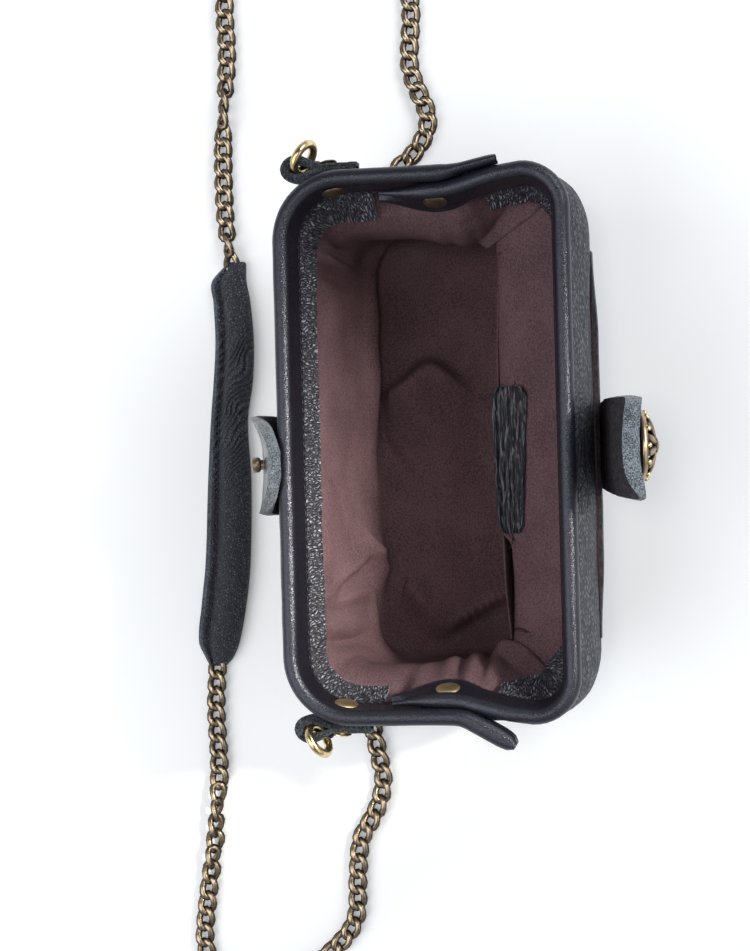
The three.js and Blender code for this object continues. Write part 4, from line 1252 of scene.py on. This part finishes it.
OUTER_POCKET = {"left": -70, "right": 72, "low": 16, "high": 70, "rows": 14, "steps": 48, "end": 30}
POCKET_LEATHER = {"thick": 2.1, "end_thick": 0.4, "lip": 0.35, "lip_up": 0.5}
POCKET_GAP = {"low": 0.35, "mouth": -0.25}
POCKET_SAG = {"height": 1.2, "size": 60, "seed": 2, "ends": 1.5}
POCKET_DENTS = (0.15, 16, 0)


def pocket_finish(column, _):
    return min(max(column - OUTER_POCKET["rows"], 0), 2)


def make_outer_pocket():
    sections = []
    for step in range(OUTER_POCKET["steps"] + 1):
        x = mix(OUTER_POCKET["left"], OUTER_POCKET["right"], step / OUTER_POCKET["steps"])
        open_share = smooth(min(x - OUTER_POCKET["left"], OUTER_POCKET["right"] - x), 0, OUTER_POCKET["end"])
        sag = POCKET_SAG["height"] * open_share * ripple((x, 0, 0), POCKET_SAG["size"], POCKET_SAG["seed"])
        sag -= POCKET_SAG["ends"] * (1 - open_share)
        near = []
        for i in range(OUTER_POCKET["rows"] + 1):
            share = i / OUTER_POCKET["rows"]
            z = mix(OUTER_POCKET["low"], OUTER_POCKET["high"], share)
            gap = mix(POCKET_GAP["low"], POCKET_GAP["mouth"] * open_share, share)
            reach = between(SHELL_ROWS, "z", z)["back"] + gap
            near.append(Vector((x, reach + ripples((x, 0, z), POCKET_DENTS), z + sag * share)))
        leather = mix(POCKET_LEATHER["end_thick"], POCKET_LEATHER["thick"], open_share)
        far = [point + Vector((0, leather, 0)) for point in reversed(near)]
        lip = near[-1].lerp(far[0], POCKET_LEATHER["lip"]) + UP * POCKET_LEATHER["lip_up"]
        sections.append([*near, lip, *far])
    bm = bmesh.new()
    loft(bm, sections, paint=pocket_finish)
    return piece("slip_pocket", bm, [COTTON, FLESH, PEBBLED], ["outer_pocket"])


# Closure strap and stud tab: thick leather with a fuzzy cut edge

STRAP_COLUMNS = "x y z width thick left right"
CLOSURE = {"outside": 1, "rows": 40, "dome": 0.6, "thin": {"left": 0.1, "right": 0.62}}
CLOSURE_ROWS = table(
    STRAP_COLUMNS,
    [
        (1, 55.8, 36, 30, 2.6, 0, 0),
        (1.1, 59.2, 50, 33, 3, 0, 0),
        (1.1, 60.4, 60, 33.2, 3.6, 0, 0),
        (1.2, 61.1, 70, 33.4, 4.6, 0, 0.2),
        (1.6, 62.6, 82, 33.8, 5.4, 0.2, 0.8),
        (2.2, 65, 98, 34.4, 6, 0.5, 2),
        (3, 69.6, 124, 34.8, 6.2, 1.4, 4.4),
        (3.3, 71.4, 134, 34, 6.2, 1.7, 5.6),
        (3.4, 71.8, 136, 31.6, 6, 1.4, 5),
    ],
)
TAB = {"outside": -1, "rows": 40, "dome": 0.4, "thin": {"left": 0, "right": 0}}
TAB_ROWS = table(
    STRAP_COLUMNS,
    [
        (5.5, -57.9, 56, 30, 2.4, 0, 0),
        (5.5, -58.2, 68, 35, 3.4, 0.5, 0.2),
        (5.5, -58.2, 82, 36, 4.4, 3.5, 1.2),
        (5.5, -57.2, 92, 35, 4.6, 4.5, 1.8),
        (5.5, -55.8, 98, 33.6, 4.6, 4, 1.8),
        (5.5, -54.8, 102, 30.6, 4.6, 2.6, 1.4),
        (5.5, -53.6, 106, 25, 4.6, 1.4, 0.8),
        (5.5, -52.4, 109, 18, 4.5, 0.6, 0.3),
        (5.5, -51.2, 111.3, 9, 4.3, 0, 0),
    ],
)
STRAP_ACROSS = 16
STRAP_EDGE = 4
STRAP_HEIGHTS_POWER = 1.5
# Powers by which a strap's edges curl out and thin, how far up and down its slope is read, and its unevenness
STRAP_CURL_POWER = 3
STRAP_THIN_POWER = 5
STRAP_SLOPE_REACH = 0.4
STRAP_WAVE = {"layer": (0.3, 7, 3), "start": (60, 80)}
STRAP_GRAIN = (0.2, 5, 9)
STRAP_CUT = {"round": 0.5, "fuzz": 0.25, "size": 1.7}


def strap_faces(shape, rows, z):
    """The face next to the bag and the outer face of a strap at a height, from one edge to the other."""
    row = between(rows, "z", z)
    ahead, behind = (between(rows, "z", z + way * STRAP_SLOPE_REACH) for way in (1, -1))
    along = Vector((0, ahead["y"] - behind["y"], ahead["z"] - behind["z"])).normalized()
    normal = Vector((0, along.z, -along.y)) * shape["outside"]
    near, far = [], []
    for i in range(STRAP_ACROSS + 1):
        share = 2 * i / STRAP_ACROSS - 1
        x = row["x"] + share * row["width"] / 2
        wave = ripples((x, row["y"], z), STRAP_WAVE["layer"]) * smooth(z, *STRAP_WAVE["start"])
        side = "left" if share < 0 else "right"
        curl = row[side] * abs(share) ** STRAP_CURL_POWER
        thick = row["thick"] * (1 - shape["thin"][side] * abs(share) ** STRAP_THIN_POWER)
        place = Vector((x, row["y"] + shape["outside"] * curl + wave, z))
        near.append(place)
        far.append(place + normal * (thick + ripples((x, 0, z), STRAP_GRAIN)))
    return near, far, along


def strap_edge(near, far, side):
    """The rounded cut edge of a strap between its two faces."""
    points = []
    for i in range(1, STRAP_EDGE):
        share = i / STRAP_EDGE
        fuzz = STRAP_CUT["fuzz"] * ripple(near, STRAP_CUT["size"], i)
        out = STRAP_CUT["round"] * math.sin(math.pi * share) + fuzz
        points.append(near.lerp(far, share) + Vector((side * out, 0, 0)))
    return points


def strap_finish(column, _):
    if column < STRAP_ACROSS:
        return 0
    return 2 if STRAP_ACROSS + STRAP_EDGE <= column < 2 * STRAP_ACROSS + STRAP_EDGE else 1


def make_strap(name, shape, rows, finishes, node):
    low, high = rows[0]["z"], rows[-1]["z"]
    bm = bmesh.new()
    sections = []
    for i in range(shape["rows"] + 1):
        share = 1 - (1 - i / shape["rows"]) ** STRAP_HEIGHTS_POWER
        near, far, _ = strap_faces(shape, rows, mix(low, high, share))
        right = strap_edge(near[-1], far[-1], 1)
        left = strap_edge(far[0], near[0], -1)
        sections.append([*near, *right, *reversed(far), *left])
    loft(bm, sections, capped=False, paint=strap_finish)
    for z in (low, high):
        near, far, along = strap_faces(shape, rows, z)
        right = strap_edge(near[-1], far[-1], 1)
        left = strap_edge(far[0], near[0], -1)
        cap = [near]
        for step in range(1, STRAP_EDGE):
            share = step / STRAP_EDGE
            dome = along * shape["dome"] * math.sin(math.pi * share)
            row = [a.lerp(b, share) + dome for a, b in zip(near, far)]
            cap.append([left[-step], *row[1:-1], right[step - 1]])
        loft(bm, [*cap, far], closed=False, paint=lambda *_: 1)
    bmesh.ops.remove_doubles(bm, verts=bm.verts, dist=STRAP_MERGE)
    return piece(name, bm, finishes, [node], sharp=55)


# Brass parts

def square_to(direction):
    """A direction with two more that are square to it."""
    direction = Vector(direction).normalized()
    side = direction.orthogonal().normalized()
    return direction, side, direction.cross(side)


def turned(bm, profile, place, direction, sides=28):
    """A lathe-turned piece from radii and heights along a direction."""
    axis, side, other = square_to(direction)
    sections = [circle(Vector(place) + axis * up, side, other, radius, sides) for radius, up in profile]
    loft(bm, sections, capped=False)


STUD = {"x": 5.3, "z": 103.3, "seat_y": -59.4, "lean": 0.27, "shine": 0.56}
STUD_PROFILE = [
    (0, 0), (1.9, 0), (1.8, 0.8), (2.4, 1.1), (2.75, 1.6), (2.75, 3.2), (2.4, 3.9), (1.4, 4.2), (0, 4.3),
]


def make_stud():
    bm = bmesh.new()
    turned(bm, STUD_PROFILE, (STUD["x"], STUD["seat_y"], STUD["z"]), (0, -1, STUD["lean"]))
    return mark_wear_and_light(piece("stud_knob", bm, [OLD_BRASS], ["snap_stud"]), lambda _: STUD["shine"])


RIVET_CAP = [(0, -0.95), (1.4, -0.92), (2.7, -0.78), (3.7, -0.5), (4.25, -0.2), (4.4, 0)]
RIVET_POST = 1.5
RIVET_SHINE = 0.55
RIVET_BACK = [(3.4, 0), (3.4, 0.3), (2.6, 0.55), (0, 0.6)]
PIVOT_RIVET = {"inner_x": 86.9, "outer_x": 98.8, "z": 98.6}
TAB_RIVET = {"arc": 0.2, "inner_out": -4.1, "outer_out": 6.9, "z": 98.4}


def rivet_line(kind, side):
    """Where a rivet's inner cap sits, which way it points, and how long its post is."""
    stretch = math.hypot(1, BAND["lean"])
    if kind == "pivot":
        seat = Vector((side * PIVOT_RIVET["inner_x"], PIVOT_Y, PIVOT_RIVET["z"]))
        length = (PIVOT_RIVET["outer_x"] - PIVOT_RIVET["inner_x"]) * stretch
        return seat, Vector((side, 0, -ARM["lean"])), length
    outward = Vector((side * math.cos(TAB_RIVET["arc"]), -math.sin(TAB_RIVET["arc"]), 0))
    centre = Vector((side * (ROLL_X - FRONT_CORNER), FRONT_CORNER - ROLL_Y, TAB_RIVET["z"]))
    seat = centre + outward * (FRONT_CORNER + TAB_RIVET["inner_out"])
    direction = Vector((outward.x, outward.y, -BAND["lean"]))
    return seat, direction, (TAB_RIVET["outer_out"] - TAB_RIVET["inner_out"]) * stretch


def make_rivet(kind, name, side):
    seat, direction, length = rivet_line(kind, side)
    post = [(RIVET_POST, 0), (RIVET_POST, length)]
    back = [(radius, up + length) for radius, up in RIVET_BACK]
    bm = bmesh.new()
    turned(bm, [*RIVET_CAP, *post, *back], seat, direction)
    # The rivets are the same metal: the left ones take the darker antique brass as painted shade, and the
    # right ones the paler satin brass as painted light.
    brass_lit_or_shaded = OLD_BRASS if name == "left" else RIVET_BRASS
    item = piece(f"{kind}_cap_{name}", bm, [brass_lit_or_shaded], [f"{kind}_rivet_{name}"])
    return mark_wear_and_light(item, lambda _: RIVET_SHINE)


CONCHO = {"place": (2.4, 76.5, 121), "lean": 0.176, "sides": 48, "boss_sides": 24}
CONCHO_RIM = [
    (10.6, 0), (12.1, 0), (12.3, 0.5), (12.2, 1.2), (11.7, 1.75), (11.1, 1.8), (10.6, 1.4), (10.6, 0),
]
CONCHO_BOSS = [
    (0, 0), (1.7, 0), (1.7, 4.3), (2.6, 4.5), (3.3, 4.9), (3.4, 5.3), (3.1, 5.8), (2.4, 6.3), (1.2, 6.8),
    (0, 6.9),
]
CONCHO_PLATE = [(0, -0.4), (11.4, -0.4), (11.4, 0.5), (0, 0.5)]
CONCHO_BEAD = {"radius": 0.9, "out": 11.4, "up": 2.2, "rings": 8, "sides": 12}
# Where the ornament is rubbed bright: on faces that look outwards, above a height, and round the rim
RUBBED = {"shine": 0.75, "facing": (0.3, 0.98), "height": (0.6, 2), "rim": (11.6, 12.1), "rim_shine": 0.8}
PETALS = 12
PETAL_STEPS = 8
PETAL_SECTION = ((-1, 0), (-0.66, 0.5), (-0.33, 0.2), (0, 0.8), (0.33, 0.2), (0.66, 0.5), (1, 0), (0, -0.5))
PETAL_ROWS = table(
    "out half up thick",
    [(1.2, 0.4, 5.0, 1), (4, 0.75, 4.8, 1), (7, 1.25, 4.0, 1.1), (9.4, 1.35, 2.9, 1), (11.2, 0.7, 1.7, 0.7)],
)


def concho_petal(place, axis, out):
    """Sections along one ridged petal, from the middle of the ornament to its rim."""
    across = axis.cross(out)
    start, end = PETAL_ROWS[0]["out"], PETAL_ROWS[-1]["out"]
    sections = []
    for step in range(PETAL_STEPS + 1):
        row = between(PETAL_ROWS, "out", mix(start, end, step / PETAL_STEPS))
        spine = place + out * row["out"] + axis * row["up"]
        corners = [across * share * row["half"] + axis * up * row["thick"] for share, up in PETAL_SECTION]
        sections.append([spine + corner for corner in corners])
    return sections


def concho_shine(vert, place, axis):
    local = vert.co / MM - place
    height = local.dot(axis)
    rim = smooth((local - axis * height).length, *RUBBED["rim"])
    top = smooth(vert.normal.dot(axis), *RUBBED["facing"]) * smooth(height, *RUBBED["height"])
    return max(RUBBED["shine"] * top, RUBBED["rim_shine"] * rim)


def make_concho():
    axis, side, other = square_to((0, 1, -CONCHO["lean"]))
    place = Vector(CONCHO["place"])
    bm = bmesh.new()
    turned(bm, CONCHO_PLATE, place, axis, CONCHO["sides"])
    turned(bm, CONCHO_BOSS, place, axis, CONCHO["boss_sides"])
    for out in circle(Vector(), side, other, 1, PETALS):
        loft(bm, concho_petal(place, axis, out))
    turned(bm, CONCHO_RIM, place, axis, CONCHO["sides"])
    made = len(bm.faces)
    turns = [math.pi * i / CONCHO_BEAD["rings"] for i in range(CONCHO_BEAD["rings"] + 1)]
    bead = [(CONCHO_BEAD["radius"] * math.sin(t), -CONCHO_BEAD["radius"] * math.cos(t)) for t in turns]
    middle = place + axis * CONCHO_BEAD["up"]
    for spot in circle(middle, side, other, CONCHO_BEAD["out"], 2 * PETALS)[1::2]:
        turned(bm, bead, spot, axis, CONCHO_BEAD["sides"])
    bm.faces.ensure_lookup_table()
    for face in bm.faces[made:]:
        face.material_index = 1
    item = piece("pierced_concho", bm, [OLD_BRASS, BRASS], ["concho"])
    return mark_wear_and_light(item, lambda vert: concho_shine(vert, place, axis))


# Ring tabs and rings

RING_TAB = {
    "face_x": 99.4, "thick": 3.4, "fold_y": -45.5, "end_y": -23, "low": 94.2, "height": 6, "slack": 0.05,
}
TAB_EYE = {"along": 2.5, "across": 1.75, "wall": 3.2, "shoulder": 1.6, "taper": 8.2}
# The eye's turn round the ring, as shares of its reach along the tab and of its bulge across
EYE_TURN = ((-0.55, 0.84), (-0.9, 0.42))
TAB_PATH = {"steps": 6, "spacing": 1.2}
TAB_SECTION = (
    (-1, 0.06), (-1, 0.5), (-1, 0.94), (-0.6, 1), (0.6, 1),
    (1, 0.94), (1, 0.5), (1, 0.06), (0.6, 0), (-0.6, 0),
)
TAB_FUZZ = {"layer": (0.18, 1.8, 3), "tall": 9}
RING = {"radius": 5.4, "wire": 1.6, "hang": 0.03, "swing": 0.54, "lean": 0.3, "slack": 0.4}
RING_SIDES = {"wire": 14, "round": 44}


def make_ring_tab(name, side):
    """A strip of thick leather folded round the ring, both ends laid together along the rim."""
    layer = RING_TAB["thick"] / 2 - RING_TAB["slack"]
    thicker = TAB_EYE["wall"] / layer
    length = RING_TAB["end_y"] - RING_TAB["fold_y"]
    bulge = TAB_EYE["across"] + TAB_EYE["wall"] / 2
    reach = TAB_EYE["along"] + TAB_EYE["wall"] / 2
    half = [(length, layer / 2), ((length + TAB_EYE["taper"]) / 2, layer / 2), (TAB_EYE["taper"], layer / 2)]
    half += [(TAB_EYE["shoulder"], bulge), *((along * reach, bulge * across) for along, across in EYE_TURN)]
    line = [*half, (-reach, 0), *((along, -across) for along, across in reversed(half))]
    path = evenly(spline(line, TAB_PATH["steps"]), TAB_PATH["spacing"])
    corner = Vector((RING_TAB["face_x"] + RING_TAB["thick"] / 2, RING_TAB["fold_y"], RING_TAB["low"]))
    sections = []
    for index, spot in enumerate(path):
        along = heading(path, index)
        out = Vector((-along.y, along.x))
        bulk = mix(thicker, 1, smooth(spot.x, TAB_EYE["shoulder"], TAB_EYE["taper"]))
        ring = []
        for across, up in TAB_SECTION:
            place = spot + out * across * bulk * layer / 2
            fuzz = ripples((place.x, place.y, up * TAB_FUZZ["tall"]), TAB_FUZZ["layer"])
            x = side * (corner.x + place.y + fuzz)
            ring.append(Vector((x, corner.y + place.x, corner.z + RING_TAB["height"] * up + fuzz)))
        sections.append(ring)
    bm = bmesh.new()
    loft(bm, sections)
    return piece(f"folded_tab_{name}", bm, [RAW_DARK], [f"ring_tab_{name}"], sharp=60)


def make_ring(name, side):
    eye_x = RING_TAB["face_x"] + RING_TAB["thick"] / 2
    eye = Vector((side * eye_x, RING_TAB["fold_y"], RING_TAB["low"] + RING_TAB["height"] / 2))
    outward = Vector((side * math.cos(RING["swing"]), math.sin(RING["swing"]), 0))
    up = Vector((0, -math.sin(RING["lean"]), math.cos(RING["lean"])))
    up = (up - outward * up.dot(outward)).normalized()
    reach = RING["radius"] * math.cos(RING["hang"]) - RING["slack"]
    centre = eye + outward * reach - up * RING["radius"] * math.sin(RING["hang"])
    axis = outward.cross(up)
    ways = circle(Vector(), outward, up, 1, RING_SIDES["round"])
    middles = [(way, centre + way * RING["radius"]) for way in [*ways, ways[0]]]
    sections = [circle(middle, way, axis, RING["wire"], RING_SIDES["wire"]) for way, middle in middles]
    bm = bmesh.new()
    loft(bm, sections, capped=False)
    return piece(f"strap_ring_{name}", bm, [BRASS], [f"ring_{name}"], sharp=180)


# Shoulder pad: a leather sleeve folded over the chain, sewn along one edge

PAD_ROWS = table(
    "x sewn folded high",
    [
        (-78, -95.6, -87.8, 4.2),
        (-77, -96, -87.3, 5.6),
        (-70.3, -101.9, -87.2, 7.2),
        (-62, -101.4, -85.8, 7.8),
        (-46, -101, -84.7, 8.2),
        (-29.6, -102.2, -85.5, 8.2),
        (-13.4, -103.8, -88, 8),
        (11, -105.6, -87.2, 8.2),
        (43.6, -107.5, -88.4, 8.2),
        (60, -109.5, -90.4, 8),
        (76, -111.2, -93.8, 7.2),
        (83, -108.4, -97, 5.6),
        (86, -106.8, -100, 3.6),
    ],
)
PAD_EDGE_HEIGHT = 3.4
PAD_SEAM = 0.23
PAD_STATIONS = 160
PAD_SECTION = table(
    "across of_edge of_high",
    [
        (0.0, 0.06, 0),
        (0.25, 0, 0.01),
        (0.75, 0, 0.01),
        (0.95, 0, 0.2),
        (1.0, 0, 0.5),
        (0.92, 0, 0.82),
        (0.72, 0, 1.0),
        (0.44, 0.25, 0.75),
        (0.3, 1.1, 0.05),
        (0.23, 0.86, 0),
        (0.17, 1.06, 0),
        (0.1, 0.98, 0),
        (0.0, 0.72, 0),
        (0.03, 0.4, 0),
    ],
)
PAD_STEPS = 3
PAD_RAW_ROWS = 3
PAD_SEAMS = {"places": (-67.2, -50.6), "depth": 0.8, "width": 0.8}
PAD_END_REACH = 8
PAD_LOWEST = 0.05
# Wrinkles that fan over one end, a crease across the middle, and soft dents
PAD_FAN = {"height": 0.2, "x": -45, "reach": 26, "slant": 26, "pitch": 2.6, "sway": (2, 14, 0), "wide": 20}
PAD_CREASE = {"depth": 1.1, "x": -13, "width": 2.2, "slant": 6}
PAD_DENTS = ((0.5, 14, 1), (0.25, 5, 6))
PAD_DENTS_WIDE = 18
PAD_STITCHES = {"start": 6, "end": 5, "height_share": 0.93, "thread": 0.35}


def pad_wrinkle(x, across):
    sway = ripples((x, across * PAD_FAN["wide"], 0), PAD_FAN["sway"])
    fan = math.sin((x + PAD_FAN["slant"] * across) / PAD_FAN["pitch"] + sway)
    fan *= hump(x, PAD_FAN["x"], PAD_FAN["reach"])
    slanted = x + PAD_CREASE["slant"] * across
    crease = PAD_CREASE["depth"] * hump(slanted, PAD_CREASE["x"], PAD_CREASE["width"])
    return PAD_FAN["height"] * fan - crease + ripples((x, across * PAD_DENTS_WIDE, 0), *PAD_DENTS)


def pad_section(x):
    row = between(PAD_ROWS, "x", x)
    edge = min(PAD_EDGE_HEIGHT, row["high"])
    corners = []
    for spot in PAD_SECTION:
        high = spot["of_edge"] * edge + spot["of_high"] * row["high"]
        corners.append((mix(row["sewn"], row["folded"], spot["across"]), high))
    loop = spline([*corners, corners[0]], PAD_STEPS)[:-1]
    ends = smooth(min(x - PAD_ROWS[0]["x"], PAD_ROWS[-1]["x"] - x), 0, PAD_END_REACH)
    panel = -PAD_SEAMS["depth"] * sum(hump(x, place, PAD_SEAMS["width"]) for place in PAD_SEAMS["places"])
    points = []
    for spot in loop:
        across = (spot.x - row["sewn"]) / (row["folded"] - row["sewn"])
        raised = smooth(spot.y, edge, row["high"]) * ends
        height = spot.y + (pad_wrinkle(x, across) + panel) * raised
        points.append(Vector((x, spot.x, max(height, PAD_LOWEST))))
    return points


def pad_finish(column, _):
    return 1 if column // PAD_STEPS >= len(PAD_SECTION) - PAD_RAW_ROWS else 0


def make_pad():
    start, end = PAD_ROWS[0]["x"], PAD_ROWS[-1]["x"]
    sections = [pad_section(mix(start, end, i / PAD_STATIONS)) for i in range(PAD_STATIONS + 1)]
    bm = bmesh.new()
    loft(bm, sections, paint=pad_finish)
    item = piece("shoulder_sleeve", bm, [SLEEVE, RAW], ["shoulder_pad"], sharp=60)
    seam = []
    for i in range(PAD_STATIONS + 1):
        x = mix(start + PAD_STITCHES["start"], end - PAD_STITCHES["end"], i / PAD_STATIONS)
        row = between(PAD_ROWS, "x", x)
        height = min(PAD_EDGE_HEIGHT, row["high"]) * PAD_STITCHES["height_share"]
        seam.append(Vector((x, mix(row["sewn"], row["folded"], PAD_SEAM), height)))
    line = evenly(seam, STITCH["pitch"])
    bm = bmesh.new()
    sew(bm, line, [UP] * len(line), PAD_STITCHES["thread"])
    piece("sleeve_stitches", bm, [THREAD], sharp=180)
    return item


make_camera()
make_stage()
make_body()
make_rim("front_binding", front_path(), front_profile, "front_rim")
make_rim("back_binding", back_path(), back_profile, "back_rim")
make_rim_stitches()
make_facing("front_inner_band", front_path(), FRONT_FACING, -1, "front_facing")
make_facing("back_inner_band", back_path(), BACK_FACING, 1, "back_facing")
make_lining()
make_inner_pocket()
make_strip()
make_outer_pocket()
make_strap("snap_strap", CLOSURE, CLOSURE_ROWS, [FLESH, RAW, PEBBLED], "closure_strap")
make_strap("stud_flap", TAB, TAB_ROWS, [FLESH, RAW, GLARE_LEATHER], "stud_tab")
make_stud()
make_concho()
make_pad()
for name, side in ENDS.items():
    make_chain(name)
    make_rivet("pivot", name, side)
    make_rivet("tab", name, side)
    make_ring_tab(name, side)
    make_ring(name, side)
